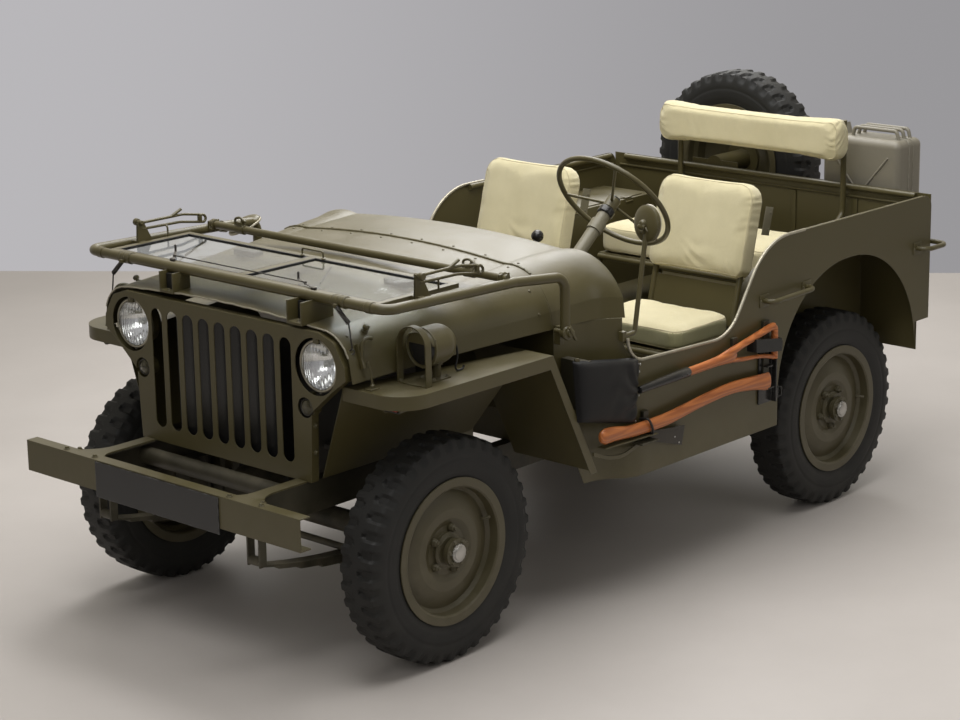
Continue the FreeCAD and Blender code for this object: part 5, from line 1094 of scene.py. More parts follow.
marker_glass, red_glass, white_glass, lamp_rims, guards = Bench(), Bench(), Bench(), Bench(), Bench()
for side in (1, -1):
    marker = (0.2925, side * 0.373, 0.820)
    round_lens(marker_glass, marker, (1, 0, 0), 0.0225)
    lens_rim(lamp_rims, marker, (1, 0, 0), 0.0235)
    tail = (-2.5575, side * 0.640, 0.700)
    round_lens(red_glass, tail, (-1, 0, 0), 0.030)
    lens_rim(lamp_rims, tail, (-1, 0, 0), 0.0325)
    face, low, high = 0.2155, 0.842, 0.882
    inner, outer = sorted((side * 0.604, side * 0.676))
    cuts = [inner + (outer - inner) * share for share in (0.02, 0.30, 0.36, 0.64, 0.70, 0.98)]
    for number, (first, last) in enumerate(zip(cuts[::2], cuts[1::2])):
        glass = white_glass if number == 1 else red_glass
        glass.block((face - 0.002, first, low), (face + 0.007, last, high), 0.003)
    for at in (cuts[1] + 0.0021, cuts[3] + 0.0021):
        lamp_rims.block((face - 0.002, at - 0.0008, low), (face + 0.0075, at + 0.0008, high), 0.0004)
    for level in (low - 0.006, high + 0.001):
        lamp_rims.block((face - 0.004, inner - 0.003, level), (face + 0.003, outer + 0.003, level + 0.005), 0.001)
    guards.rod([(0.170, inner - 0.008, 0.886), (0.205, inner - 0.008, 0.886), (0.240, inner - 0.004, 0.850),
                (0.240, outer + 0.004, 0.850), (0.205, outer + 0.008, 0.886), (0.170, outer + 0.008, 0.886)],
               0.0028, 0.022, 8)
    stay = (inner + outer) / 2 - 0.012
    guards.rod([(0.172, stay, 0.835), (0.226, stay, 0.834), (0.236, stay, 0.852)], 0.0024, 0.010, 8)
marker_glass.done("marker_glasses", "car", lens_clear, "lamp_glass", 50)
red_glass.done("red_glasses", "car", lens_red, "lamp_glass", 50)
white_glass.done("white_glasses", "car", lens_white, "lamp_glass", 50)
lamp_rims.done("small_lamp_rims", "car", dark_steel, "dark_steel")
guards.done("fender_lamp_guards", "car", olive, "olive_paint")

# %% [markdown]
# ## Shielded driving lamp
# On the left fender stands a lamp for driving without being seen from the air: its glass is dark
# and hidden under a visor, and a hoop guards it. The solids have the body and the hoop; rim,
# glass, visor, the screws and the cable's end at the back are added here.

# %% Driving lamp trim
LAMP_AT = Vector((0.020, 0.648, 1.005))
face = LAMP_AT + Vector((0.062, 0, 0))
trim, visor, dark_glass = Bench(), Bench(), Bench()
lens_rim(trim, face - Vector((0.003, 0, 0)), (1, 0, 0), 0.0595)
for number in range(3):
    angle = math.tau * number / 3 + 0.5
    trim.bolt(face + Vector((-0.004, math.cos(angle) * 0.0625, math.sin(angle) * 0.0625)), (1, 0, 0), 0.006, 0.004,
              washer=False)
dark_glass.turned(face, (1, 0, 0), [(-0.006, 0.055), (-0.001, 0.055), (0.003, 0.046), (0.006, 0.030),
                                    (0.0072, 0.012), (0.0075, 0.0)], 36)
ring_low, ring_high = [], []
for step in range(21):
    angle = math.radians(12 + 156 * step / 20)
    spread = Vector((0, math.cos(angle), math.sin(angle)))
    reach = 0.004 + 0.016 * math.sin(angle)
    ring_low.append(face + spread * 0.0600)
    ring_high.append(face + spread * (0.0585 - 0.010 * math.sin(angle)) + Vector((reach, 0, 0)))
TIN = 0.0012
visor.skin([[visor.mesh.verts.new(spot) for spot in
             (low, high, high + Vector((TIN, 0, TIN)), low + Vector((0, 0, TIN)))]
            for low, high in zip(ring_low, ring_high)])
lid = [face + Vector((0.008, math.cos(math.radians(turn)) * 0.054, math.sin(math.radians(turn)) * 0.050))
       for turn in range(15, 166, 10)]
visor.sheet(lid, (1, 0, 0), 0.0015)
trim.turned(LAMP_AT - Vector((0.058, 0, 0)), (-1, 0, 0), [(-0.004, 0.016), (0.004, 0.015), (0.010, 0.009)], 18)
for x in (-0.002, 0.058):
    for y in (0.672, 0.624):
        trim.bolt((x, y, 0.904), (0, 0, 1), 0.011, 0.007)
for at in ((0.112, 0.700, 0.904), (0.120, 0.596, 0.904)):
    trim.bolt(at, (0, 0, 1), 0.010, 0.006)
trim.turned((0.020, 0.648, 0.940), (0, 0, 1), [(0, 0.0125), (0.001, 0.018), (0.012, 0.018), (0.013, 0.0125)], 6)
trim.done("driving_lamp_trim", "car", olive, "olive_paint")
visor.done("driving_lamp_visor", "car", olive, "olive_paint", 45)
dark_glass.done("driving_lamp_glass", "car", black_enamel, "lamp_glass", 50)
lead = Bench()
lead.rod([(-0.044, 0.648, 1.000), (-0.068, 0.648, 0.985), (-0.072, 0.648, 0.945), (-0.060, 0.648, 0.915),
          (-0.070, 0.647, 0.9025), (-0.095, 0.647, 0.905), (-0.100, 0.647, 0.914)], 0.0032, 0.02)
lead.turned((-0.040, 0.648, 1.001), (-1, 0, -0.15), [(0, 0.008), (0.010, 0.007), (0.018, 0.004)], 14)
lead.done("driving_lamp_lead", "car", black_rubber, "tyre_rubber")
print("driving lamp dressed")

# %% [markdown]
# ## Seats for trim on curved panels
# Bolts and catches on the hood or the cowl have to lie on a curved sheet. A ray shot at the solid
# finds the place and the direction that the sheet faces, so nothing floats and nothing sinks.

# %% Find a panel's surface
TREES = {}


def on_panel(node, start, towards):
    """Place on a solid's surface hit from a start point, and the way that it faces."""
    if node not in TREES:
        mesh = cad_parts[node].data
        TREES[node] = BVHTree.FromPolygons([tuple(vert.co) for vert in mesh.vertices],
                                           [tuple(face.vertices) for face in mesh.polygons])
    spot, facing, _, _ = TREES[node].ray_cast(car(*start), Vector(towards).normalized())
    if facing.dot(Vector(towards)) > 0:
        facing = -facing
    return spot - car(0, 0, 0), facing


print("hood's top in its middle:", tuple(round(value, 3) for value in on_panel("hood", (0, 0, 2), (0, 0, -1))[0]))

# %% [markdown]
# ## Windscreen hardware
# The folded windscreen shows its inner side. The two hand wipers are joined by a thin link, a wire
# bail sits on the middle of the glass frame, slotted arms at the sides hold the frame open, and
# collars on the top bar carry the hold-down springs. All of it rides with the windscreen.

# %% Wipers, bail and arms
SCREEN = 1.153
PANE_TOP = 1.158
wipers = Bench()
WIPERS = (((0.211, -0.310), (0.129, -0.391), (0.184, -0.333)), ((0.211, 0.331), (0.155, 0.206), (0.186, 0.270)))
for pivot, pin, link in WIPERS:
    wipers.turned((*pivot, PANE_TOP - 0.016), (0, 0, 1), [(0, 0.007), (0.016, 0.007), (0.018, 0.0095),
                                                          (0.024, 0.0095), (0.026, 0.006)], 16)
    wipers.strip([(*pivot, PANE_TOP + 0.005), (*link, PANE_TOP + 0.006), (*pin, PANE_TOP + 0.006)],
                 (1, -1, 0), 0.008, 0.0022)
    wipers.turned((*pin, PANE_TOP + 0.004), (0, 0, 1), [(0, 0.0042), (0.008, 0.0036), (0.021, 0.0040),
                                                        (0.024, 0.0030), (0.025, 0.0)], 12)
    wipers.turned((*link, PANE_TOP + 0.003), (0, 0, 1), [(0, 0.0045), (0.009, 0.0045), (0.010, 0.003)], 10)
wipers.rod([(0.184, -0.333, PANE_TOP + 0.010), (0.186, 0.270, PANE_TOP + 0.010)], 0.0021, 0.0, 8)
wipers.done("wiper_handles", "windscreen", dark_steel, "dark_steel")

blades = Bench()
for pivot, pin, link in WIPERS:
    aim = Vector((-0.26, -0.16 if pivot[1] < 0 else -0.20, 0)).normalized()
    tip = Vector((pivot[0], pivot[1], 0)) + aim * 0.24
    blades.strip([(pivot[0], pivot[1], SCREEN - 0.0125), (tip.x, tip.y, SCREEN - 0.0115)],
                 Vector((-aim.y, aim.x, 0)), 0.005, 0.0016)
    middle = Vector((tip.x, tip.y, SCREEN - 0.0085))
    run = aim * 0.11
    blades.block(middle - Vector((0.11, 0.0025, 0.0035)), middle + Vector((0.11, 0.0025, 0.0030)), 0.001,
                 Matrix.Rotation(math.atan2(run.y, run.x), 3, "Z"), middle)
blades.done("wiper_blades", "windscreen", black_rubber, "tyre_rubber")

fittings = Bench()
bail = [(-0.100, -0.045, PANE_TOP), (-0.100, -0.045, PANE_TOP + 0.024), (-0.100, 0.050, PANE_TOP + 0.024),
        (-0.100, 0.050, PANE_TOP)]
fittings.rod(bail, 0.0030, 0.008, 8)
for at in (-0.045, 0.050):
    fittings.turned((-0.100, at, PANE_TOP), (0, 0, 1), [(0, 0.008), (0.003, 0.0075), (0.005, 0.004)], 14)
for side in (1, -1):
    stand = side * 0.630
    corners = [(0.090, stand - 0.0035, 1.146), (0.022, stand - 0.0035, 1.146), (0.060, stand - 0.0035, 1.219),
               (0.086, stand - 0.0035, 1.219)]
    fittings.sheet(corners, (0, 1, 0), 0.0015)
    fittings.sheet([(x, y + 0.0055, z) for x, y, z in corners], (0, 1, 0), 0.0015)
    fittings.turned((0.073, stand - 0.012, 1.2185), (0, 1, 0),
                    [(0, 0.005), (0.002, 0.008), (0.022, 0.008), (0.024, 0.005)], 12)
    fittings.turned((0.073, stand + side * 0.010, 1.2185), (0, side, 0),
                    [(0, 0.0115), (0.010, 0.0125), (0.014, 0.011), (0.015, 0.0)], 14)
    loop = [(0.066, stand, 1.196), (-0.098, stand, 1.193), (-0.203, stand, 1.176), (-0.212, stand, 1.188),
            (-0.203, stand, 1.201), (-0.110, stand, 1.217), (-0.060, stand, 1.2165)]
    fittings.rod(loop, 0.0046, 0.012, 10)
    fittings.block((-0.190, stand - 0.006, 1.176), (-0.178, stand + 0.006, 1.206), 0.002)
    fittings.rod([(-0.030, side * 0.615, PANE_TOP - 0.002), (-0.030, side * 0.615, 1.190), (-0.030, stand, 1.196)],
                 0.0032, 0.010, 8)
fittings.done("glass_frame_arms", "windscreen", olive, "olive_paint")

# %% [markdown]
# ## Collars, springs and pane seals
# A split collar is a short tube with a bolted ear. The hold-down spring hangs from it and hooks
# over an eye on the hood. A thin rubber lip runs round each pane, where glass meets frame.

# %% Collars and seals
collars, dark_bits = Bench(), Bench()
for side in (1, -1):
    at = side * 0.486
    for shift in (-0.022, 0.0, 0.022):
        collars.turned((0.252, at + shift - 0.005, SCREEN), (0, 1, 0),
                       [(0.0, 0.0165), (0.001, 0.0195), (0.009, 0.0195), (0.010, 0.0165), (0.0, 0.0165)], 28)
    collars.turned((0.252, at - 0.028, SCREEN), (0, 1, 0), [(0.0, 0.0162), (0.001, 0.0178), (0.055, 0.0178),
                                                            (0.056, 0.0162), (0.0, 0.0162)], 28)
    collars.block((0.262, at - 0.006, 1.138), (0.280, at + 0.006, 1.150), 0.002)
    head, knee = Vector((0.272, at, 1.143)), Vector((0.270, side * 0.536, 1.098))
    dark_bits.spring(head, knee, 0.0062, 0.0016, 13)
    dark_bits.rod([head, knee], 0.0042, 0.0, 8)
    eye, facing = on_panel("hood", (0.266, side * 0.549, 1.3), (0, 0, -1))
    dark_bits.rod([knee, knee.lerp(eye + Vector((0.004, 0, 0.006)), 0.9)], 0.0024, 0.0, 8)
    dark_bits.hoop(eye + Vector((0.006, 0, 0.008)), (1, 0.4, 0), 0.0075, 0.0022, 20, 6)
collars.done("top_bar_collars", "windscreen", olive, "olive_paint")
dark_bits.done("hold_down_springs", "windscreen", dark_steel, "dark_steel")

seals = Bench()
lip = 0.0026
for side in (1, -1):
    low, high = sorted((side * 0.014, side * 0.590))
    for level in (PANE_TOP - 0.0028, 1.1482):
        for y in (low + lip, high - lip):
            seals.block((-0.100, y - lip, level - lip), (0.200, y + lip, level + lip), 0.0008)
        for x in (-0.100 + lip, 0.200 - lip):
            seals.block((x - lip, low, level - lip), (x + lip, high, level + lip), 0.0008)
seals.done("pane_seals", "windscreen", black_rubber, "tyre_rubber")

# %% [markdown]
# ## Joints of the tube frame
# The tube frame is not bent from one piece: sleeves join the top bar to the arms, the lower bar
# ends in bolted brackets, and each arm's foot turns on a pivot with a wing knob.

# %% Sleeves, brackets and pivots
sleeves = Bench()
for side in (1, -1):
    sleeves.turned((0.252, side * 0.597, SCREEN), (0, side, 0), [(0, 0.0162), (0.001, 0.0182), (0.024, 0.0182),
                                                                (0.025, 0.0162), (0, 0.0162)], 28)
    sleeves.turned((-0.270, side * 0.648, SCREEN), (0, side, 0), [(0, 0.0134), (0.002, 0.019), (0.014, 0.019),
                                                                  (0.016, 0.0134), (0, 0.0134)], 24)
    sleeves.block((-0.294, side * 0.660 - 0.004, 1.128), (-0.246, side * 0.660 + 0.004, 1.168), 0.003)
    for x in (-0.286, -0.254):
        sleeves.bolt((x, side * 0.656, 1.140), (0, -side, 0), 0.011, 0.006)
    foot, knob = Vector((-0.505, side * 0.702, 0.944)), Vector((0, side * 0.030, 0))
    sleeves.turned(foot + Vector((0, side * 0.008, 0)), (0, side, 0),
                   [(0, 0.024), (0.004, 0.0245), (0.008, 0.022), (0.010, 0.014), (0.020, 0.013), (0.022, 0.010)], 24)
    sleeves.block(foot + knob - Vector((0.004, 0.004, 0.028)), foot + knob + Vector((0.004, 0.004, 0.028)),
                  0.003, Matrix.Rotation(0.6, 3, "Y"), foot + knob)
for side in (1, -1):
    at = Vector((-0.270, side * 0.521, SCREEN))
    sleeves.turned(at - Vector((0, 0.020, 0)), (0, 1, 0), [(0, 0.0132), (0.001, 0.0165), (0.039, 0.0165),
                                                           (0.040, 0.0132), (0, 0.0132)], 24)
    sleeves.block(at + Vector((-0.010, -0.012, 0.012)), at + Vector((0.012, 0.012, 0.026)), 0.002)
    sleeves.rod([at + Vector((0.004, -0.022, 0.012)), at + Vector((0.004, -0.026, 0.034)),
                 at + Vector((0.004, 0.0, 0.042)), at + Vector((0.004, 0.028, 0.028))], 0.0042, 0.010, 8)
    sleeves.turned(at + Vector((0.0, 0.008, 0.024)), (0, 0.5, 1), [(0, 0.008), (0.012, 0.0085), (0.015, 0.006)], 12)
sleeves.done("windscreen_joints", "windscreen", olive, "olive_paint")

# %% [markdown]
# ## Round cap by the right arm
# Beside the right arm's bend the photograph shows a round painted cap about 125 mm wide with a
# bright edge, like the back of the mirror on the left. It is made as such a mirror, clamped to the arm.

# %% Right mirror
cap, cap_rim, cap_glass = Bench(), Bench(), Bench()
cap_at, cap_along = Vector((-0.484, -0.740, 1.101)), Vector((0.35, -0.25, 0.9)).normalized()
dome = [(0.0, 0.060), (0.006, 0.0605)] + [(0.006 + 0.022 * math.sin(share * math.pi / 16),
                                         0.060 * math.cos(share * math.pi / 16)) for share in range(1, 8)]
cap.turned(cap_at, cap_along, dome + [(0.028, 0.0)], 36)
cap_rim.turned(cap_at, cap_along, [(-0.003, 0.0595), (-0.002, 0.0625), (0.003, 0.0632), (0.006, 0.0615),
                                   (0.003, 0.0595), (-0.003, 0.0595)], 40)
cap_glass.turned(cap_at, cap_along, [(-0.0022, 0.0), (-0.0018, 0.0590), (0.001, 0.0590)], 36)
cap.rod([cap_at - cap_along * 0.004 + Vector((0.02, 0.0, 0)), Vector((-0.352, -0.668, 1.122)),
         Vector((-0.342, -0.683, 1.117))], 0.0055, 0.02)
cap.turned(Vector((-0.325, -0.6805, 1.134)), Vector((0.35, 0.045, 0.095)),
           [(-0.02, 0.0162), (-0.019, 0.0195), (0.006, 0.0195), (0.007, 0.0162), (-0.02, 0.0162)], 24)
cap.done("right_mirror_back", "windscreen", olive, "olive_paint", 50)
# The cap's bright edge is partly worn metal and partly a painted highlight.
cap_rim.done("right_mirror_rim", "windscreen", worn_edge_and_highlight, "bare_steel")
cap_glass.done("right_mirror_glass", "windscreen", chrome, "window_glass")
print("windscreen trimmed")

# %% [markdown]
# ## Hood trim
# The hood has a rolled front edge, two channel rests for the folded windscreen, a hinge along its
# rear edge, side catches that hook it down to the fenders, and round-headed bolts.
# The rolled edge follows the solid's own front outline, which is read from its mesh.

# %% Rolled edge and rests
hood_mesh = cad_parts["hood"].data
front_at = max(vert.co.x for vert in hood_mesh.vertices)
columns = {}
for vert in hood_mesh.vertices:
    if vert.co.x > front_at - 0.0005:
        key = round(vert.co.y / 0.004)
        if key not in columns or vert.co.z > columns[key].z:
            columns[key] = vert.co.copy()
outline = [columns[key] - car(0, 0, 0) for key in sorted(columns)]
outline = [spot for spot in outline if spot.z > 0.99]
lip = Bench()
lip.rod([spot + Vector((0.001, 0, -0.0010)) for spot in outline], 0.0030, 0.0, 8)
# The rolled edge takes the bright edge finish: a painted highlight along the hood's front, where the paint's edge
# catches the light.
lip.done("hood_front_lip", "car", worn_edge_and_highlight, "olive_paint")
print("rolled edge through", len(outline), "places")

rests, hood_bits = Bench(), Bench()
half_width, channel_top = 0.030, 1.1455
for x, y, half_length in ((0.250, 0.352, 0.066), (0.262, -0.245, 0.036)):
    seat = on_panel("hood", (x, y, 2), (0, 0, -1))[0].z - 0.002
    for side in (1, -1):
        rests.block((x - half_length, y + side * half_width - 0.0025, seat - 0.004),
                    (x + half_length, y + side * half_width + 0.0025, channel_top), 0.0015)
    rests.block((x - half_length, y - half_width, seat - 0.004),
                (x + half_length, y + half_width, seat + 0.004), 0.001)
    for end in (-0.7, 0.7):
        rests.bolt((x + half_length * end, y, seat + 0.004), (0, 0, 1), 0.010, 0.005)
rests.done("hood_rests", "car", olive, "olive_paint")
pads = Bench()
for x, y, half_length in ((0.252, 0.352, 0.022), (0.252, -0.245, 0.022), (-0.140, -0.345, 0.020),
                          (-0.140, 0.345, 0.020)):
    seat = on_panel("hood", (x, y, 2), (0, 0, -1))[0].z - 0.002
    high = 1.1366 if x > 0 else min(1.135, seat + 0.020)
    width = 0.026 if x > 0 else 0.050
    pads.block((x - half_length, y - width, seat), (x + half_length, y + width, high), 0.003)
pads.done("hood_rest_pads", "car", black_rubber, "tyre_rubber")

# %% Catches, hinge and knobs
for side in (1, -1):
    foot, facing = on_panel("fender_left" if side > 0 else "fender_right", (0.235, side * 0.592, 2), (0, 0, -1))
    hood_bits.block(foot + Vector((-0.020, -0.012, -0.001)), foot + Vector((0.020, 0.012, 0.004)), 0.0015)
    hood_bits.turned(foot + Vector((0, 0, 0.003)), (0, 0, 1), [(0, 0.008), (0.010, 0.0075), (0.014, 0.004)], 12)
    hood_bits.rod([foot + Vector((0, 0, 0.008)), foot + Vector((0.0, -side * 0.004, 0.050)),
                   foot + Vector((0.004, -side * 0.012, 0.082))], 0.0034, 0.02, 8)
    seat, facing = on_panel("hood", (0.246, side * 0.8, 1.000), (0, -side, 0))
    turn = facing.to_track_quat("X", "Z").to_matrix()
    hood_bits.block(seat + Vector((-0.001, -0.007, -0.042)), seat + Vector((0.012, 0.007, 0.034)), 0.002, turn, seat)
    knob, facing = on_panel("hood", (0.246, side * 0.8, 1.024), (0, -side, 0))
    lever = [seat + facing * 0.012 + Vector((0, 0, -0.040)), seat + facing * 0.018 + Vector((0.004, 0, -0.005)),
             knob + facing * 0.024 + Vector((-0.004, 0, 0.006)), knob + facing * 0.022 + Vector((-0.030, 0, 0.013)),
             knob + facing * 0.012 + Vector((-0.052, 0, 0.010))]
    hood_bits.rod(lever, 0.0048, 0.016, 10, taper=lambda share: 0.8 + 0.5 * share)
    ball, facing = on_panel("hood", (0.186, side * 0.8, 1.056), (0, -side, 0))
    hood_bits.turned(ball - facing * 0.002, facing, [(0, 0.012), (0.004, 0.011), (0.007, 0.006), (0.012, 0.006),
                                                     (0.014, 0.010), (0.022, 0.0105), (0.026, 0.006)], 18)
    for x, z in ((0.255, 1.052), (-0.455, 1.000), (-0.455, 1.070)):
        rivet, facing = on_panel("hood", (x, side * 0.8, z), (0, -side, 0))
        hood_bits.rivet(rivet, facing, 0.0055)
hinge_rear = Bench()
HINGE_HALF, KNUCKLES = 0.56, 44
ends = [on_panel("cowl", (-0.506, -HINGE_HALF + 2 * HINGE_HALF * step / KNUCKLES, 2), (0, 0, -1))[0]
        for step in range(KNUCKLES + 1)]
for step, (first, second) in enumerate(zip(ends, ends[1:])):
    hinge_rear.rod([first.lerp(second, 0.03), first.lerp(second, 0.97)], 0.0050 if step % 2 else 0.0052, 0.0, 8)
hinge_rear.done("hood_hinge", "car", olive, "olive_paint")
for step in range(8):
    y = -0.49 + 0.14 * step
    for x in (-0.480, -0.528):
        spot, facing = on_panel("hood" if x > -0.5 else "cowl", (x, y, 2), (0, 0, -1))
        hood_bits.rivet(spot, facing, 0.0048)
hood_bits.done("hood_catches", "car", olive, "olive_paint")
print("hood trimmed")

# %% [markdown]
# ## Tools on the left side
# The blade of the shovel hides in a gathered black cover, its ash shaft splits into a bent grip,
# and the axe handle is an oval bar that swells at both ends. Round rods would look like
# broomsticks, so both are lofted: ovals of a given height and thickness are set along the way.

# %% Shovel, axe handle and cover
TOOL_OUT = 0.776
SIDE = 0.7505


def lofted(bench, stations, sides=18):
    """Bar through ovals: (place, half height, half thickness); thickness lies along Y."""
    rings = []
    for index, (place, high, thick) in enumerate(stations):
        ahead = Vector(stations[min(index + 1, len(stations) - 1)][0])
        behind = Vector(stations[max(index - 1, 0)][0])
        lift = (ahead - behind).cross(Vector((0, 1, 0))).normalized()
        rings.append([bench.mesh.verts.new(Vector(place) + lift * math.sin(angle) * high
                                           + Vector((0, 1, 0)) * math.cos(angle) * thick)
                      for angle in (math.tau * step / sides for step in range(sides))])
    bench.skin(rings)


def swelling(points, steps=5):
    """Smooth run through (x, middle height, half height, half thickness) values."""
    result = []
    for index in range(len(points) - 1):
        four = [points[max(index - 1, 0)], points[index], points[index + 1], points[min(index + 2, len(points) - 1)]]
        for step in range(steps):
            share = step / steps
            result.append([(2 * b + (c - a) * share + (2 * a - 5 * b + 4 * c - d) * share ** 2
                            + (3 * b - a - 3 * c + d) * share ** 3) / 2 for a, b, c, d in zip(*four)])
    result.append(list(points[-1]))
    return [((x, TOOL_OUT, z), high, thick) for x, z, high, thick in result]


handle = Bench()
lofted(handle, swelling([(-0.584, 0.590, 0.005, 0.004), (-0.588, 0.591, 0.016, 0.010), (-0.604, 0.595, 0.026, 0.014),
                         (-0.650, 0.594, 0.0245, 0.0135), (-0.720, 0.585, 0.0205, 0.0125),
                         (-0.790, 0.582, 0.021, 0.0125), (-0.930, 0.584, 0.022, 0.0125),
                         (-1.090, 0.601, 0.0205, 0.012), (-1.260, 0.612, 0.021, 0.012),
                         (-1.380, 0.604, 0.024, 0.0125), (-1.455, 0.594, 0.029, 0.0135),
                         (-1.478, 0.592, 0.030, 0.0125), (-1.482, 0.592, 0.026, 0.008)]))
piece = handle.done("axe_handle_wood", "car", wood, "ash_wood")
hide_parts("axe_handle")

shaft = Bench()
lofted(shaft, swelling([(-1.026, 0.7175, 0.0145, 0.0145), (-1.10, 0.7185, 0.0148, 0.0145),
                        (-1.18, 0.7205, 0.0160, 0.0145), (-1.235, 0.7230, 0.0215, 0.0140),
                        (-1.268, 0.7255, 0.0260, 0.0120), (-1.290, 0.7265, 0.0150, 0.0080)]))
lofted(shaft, swelling([(-1.215, 0.729, 0.012, 0.012), (-1.262, 0.7365, 0.0135, 0.0125),
                        (-1.33, 0.7500, 0.0120, 0.0125), (-1.42, 0.7660, 0.0120, 0.0125),
                        (-1.490, 0.7790, 0.0125, 0.0120), (-1.508, 0.7790, 0.0120, 0.011)]))
lofted(shaft, swelling([(-1.215, 0.7165, 0.0085, 0.010), (-1.268, 0.7090, 0.0085, 0.010),
                        (-1.33, 0.6990, 0.0075, 0.009), (-1.42, 0.6900, 0.0070, 0.009),
                        (-1.490, 0.6760, 0.0075, 0.009), (-1.506, 0.6700, 0.0075, 0.009)]))
shaft.rod([(-1.482, TOOL_OUT, 0.7785), (-1.513, TOOL_OUT, 0.7760), (-1.513, TOOL_OUT, 0.666)], 0.0122, 0.012, 14)
piece = shaft.done("shovel_wood", "car", wood, "ash_wood")
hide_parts("shovel")

socket = Bench()
lofted(socket, [((x, TOOL_OUT, z), size, size) for x, z, size in
                ((-0.780, 0.7105, 0.0120), (-0.88, 0.7135, 0.0142), (-0.96, 0.7160, 0.0160),
                 (-1.030, 0.7180, 0.0168), (-1.034, 0.7181, 0.0150))])
for at in (-0.985, -1.010):
    socket.rivet((at, TOOL_OUT + 0.0162, 0.717), (0, 1, 0), 0.0035)
socket.done("shovel_socket", "car", black_enamel, "black_plate")

# %% Gathered cover
CORNERS = [Vector((x, 0, z)) for x, z in ((-0.482, 0.863), (-0.797, 0.810), (-0.775, 0.596), (-0.502, 0.660))]
NECK = Vector((-0.800, 0, 0.712))
ACROSS, DOWN = 64, 44
cover = Bench()
grid = []
for row in range(DOWN + 1):
    low = row / DOWN
    line = []
    for column in range(ACROSS + 1):
        back = column / ACROSS
        spot = CORNERS[0].lerp(CORNERS[1], back).lerp(CORNERS[3].lerp(CORNERS[2], back), low)
        edge = (1 - abs(2 * back - 1) ** 9) * (1 - abs(2 * low - 1) ** 9)
        near = spot - NECK
        reach = near.length
        angle = math.atan2(near.z, near.x)
        folds = math.exp(-(reach / 0.125) ** 2) * math.sin(angle * 9 + 1.5 * math.sin(reach * 40))
        sag = 0.35 * math.exp(-(reach / 0.22) ** 2) * math.sin(angle * 4 + 1.0)
        bulge = 0.030 + 0.006 * math.sin(back * 3.1) * math.sin(low * 3.1)
        raised = SIDE - 0.001 + max(0.0, edge) ** 0.4 * (bulge + 0.0055 * (folds + sag))
        line.append(cover.mesh.verts.new((spot.x, raised, spot.z)))
    grid.append(line)
for upper, lower in zip(grid, grid[1:]):
    for column in range(ACROSS):
        cover.mesh.faces.new((upper[column], upper[column + 1], lower[column + 1], lower[column]))
cover.mesh.faces.new(grid[0] + [line[-1] for line in grid[1:]]
                     + list(reversed(grid[-1][:-1])) + [line[0] for line in reversed(grid[1:-1])])
piece = cover.done("gathered_cover", "car", cover_cloth, "black_leather", sharp=70)
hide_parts("tool_cover")

studs = Bench()
for x, z in ((-0.797, 0.791), (-0.792, 0.768), (-0.773, 0.607), (-0.700, 0.632), (-0.790, 0.690)):
    studs.rivet((x, SIDE + 0.016, z), (-0.5, 1, 0), 0.0042)
    studs.turned((x, SIDE - 0.001, z), (0, 1, 0), [(0, 0.0025), (0.017, 0.0025)], 8)
studs.done("cover_studs", "car", bare_steel, "bare_steel")

# %% [markdown]
# ## Straps, brackets and the door's edge
# The tools hang on a black upright bracket with a buckled strap, a ring round the axe handle and a
# small shelf. The door cut has a rolled edge, made bright partly by the wear of boots and partly as a
# painted highlight along its curve. Its corners are true arcs, so one function turns corners and radii into points.

# %% Tool straps and brackets
straps = Bench()
straps.rod([(-0.806, TOOL_OUT - 0.020, 0.606), (-0.806, TOOL_OUT + 0.018, 0.612), (-0.822, TOOL_OUT + 0.019, 0.585),
            (-0.832, TOOL_OUT + 0.018, 0.556), (-0.832, TOOL_OUT - 0.020, 0.556)], 0.0042, 0.012, 8)
straps.strip([(-1.385, SIDE + 0.004, 0.735), (-1.385, TOOL_OUT + 0.018, 0.735), (-1.470, TOOL_OUT + 0.0185, 0.722),
              (-1.533, TOOL_OUT + 0.016, 0.712), (-1.541, SIDE + 0.006, 0.710)], (0.05, 0, 1), 0.046, 0.0025)
straps.done("tool_straps", "car", black_rubber, "black_leather")

holders = Bench()
holders.block((-1.530, SIDE, 0.508), (-1.452, SIDE + 0.006, 0.716), 0.002)
holders.block((-1.530, SIDE, 0.508), (-1.524, SIDE + 0.026, 0.716), 0.002)
holders.block((-1.500, SIDE, 0.566), (-1.470, TOOL_OUT + 0.010, 0.5705), 0.0015)
holders.block((-1.500, SIDE, 0.640), (-1.470, TOOL_OUT + 0.004, 0.645), 0.0015)
for z in (0.697, 0.533):
    holders.rod([(-1.560, SIDE + 0.006, z + 0.016), (-1.578, SIDE + 0.010, z + 0.016),
                 (-1.578, SIDE + 0.010, z - 0.016), (-1.560, SIDE + 0.006, z - 0.016)], 0.0026, 0.005, 8)
    holders.block((-1.566, SIDE - 0.001, z - 0.022), (-1.556, SIDE + 0.007, z + 0.022), 0.001)
holders.done("tool_holder", "car", black_enamel, "black_plate")

plate = Bench()
hanging = [(-0.813, SIDE + 0.014, 0.560), (-1.029, SIDE + 0.014, 0.536), (-1.013, SIDE + 0.014, 0.471),
           (-0.876, SIDE + 0.014, 0.514)]
plate.sheet(hanging, (0, 1, 0), 0.003, bevel=0.0008)
plate.block((-0.835, SIDE, 0.545), (-0.820, SIDE + 0.016, 0.556), 0.001)
plate.block((-1.000, SIDE, 0.524), (-0.985, SIDE + 0.016, 0.534), 0.001)
plate.done("hanging_plate", "car", dark_steel, "dark_steel")
screws = Bench()
for x, z in ((-0.976, 0.508), (-0.998, 0.484)):
    screws.rivet((x, SIDE + 0.0168, z), (0, 1, 0), 0.0036)
screws.done("plate_rivets", "car", bare_steel, "bare_steel")


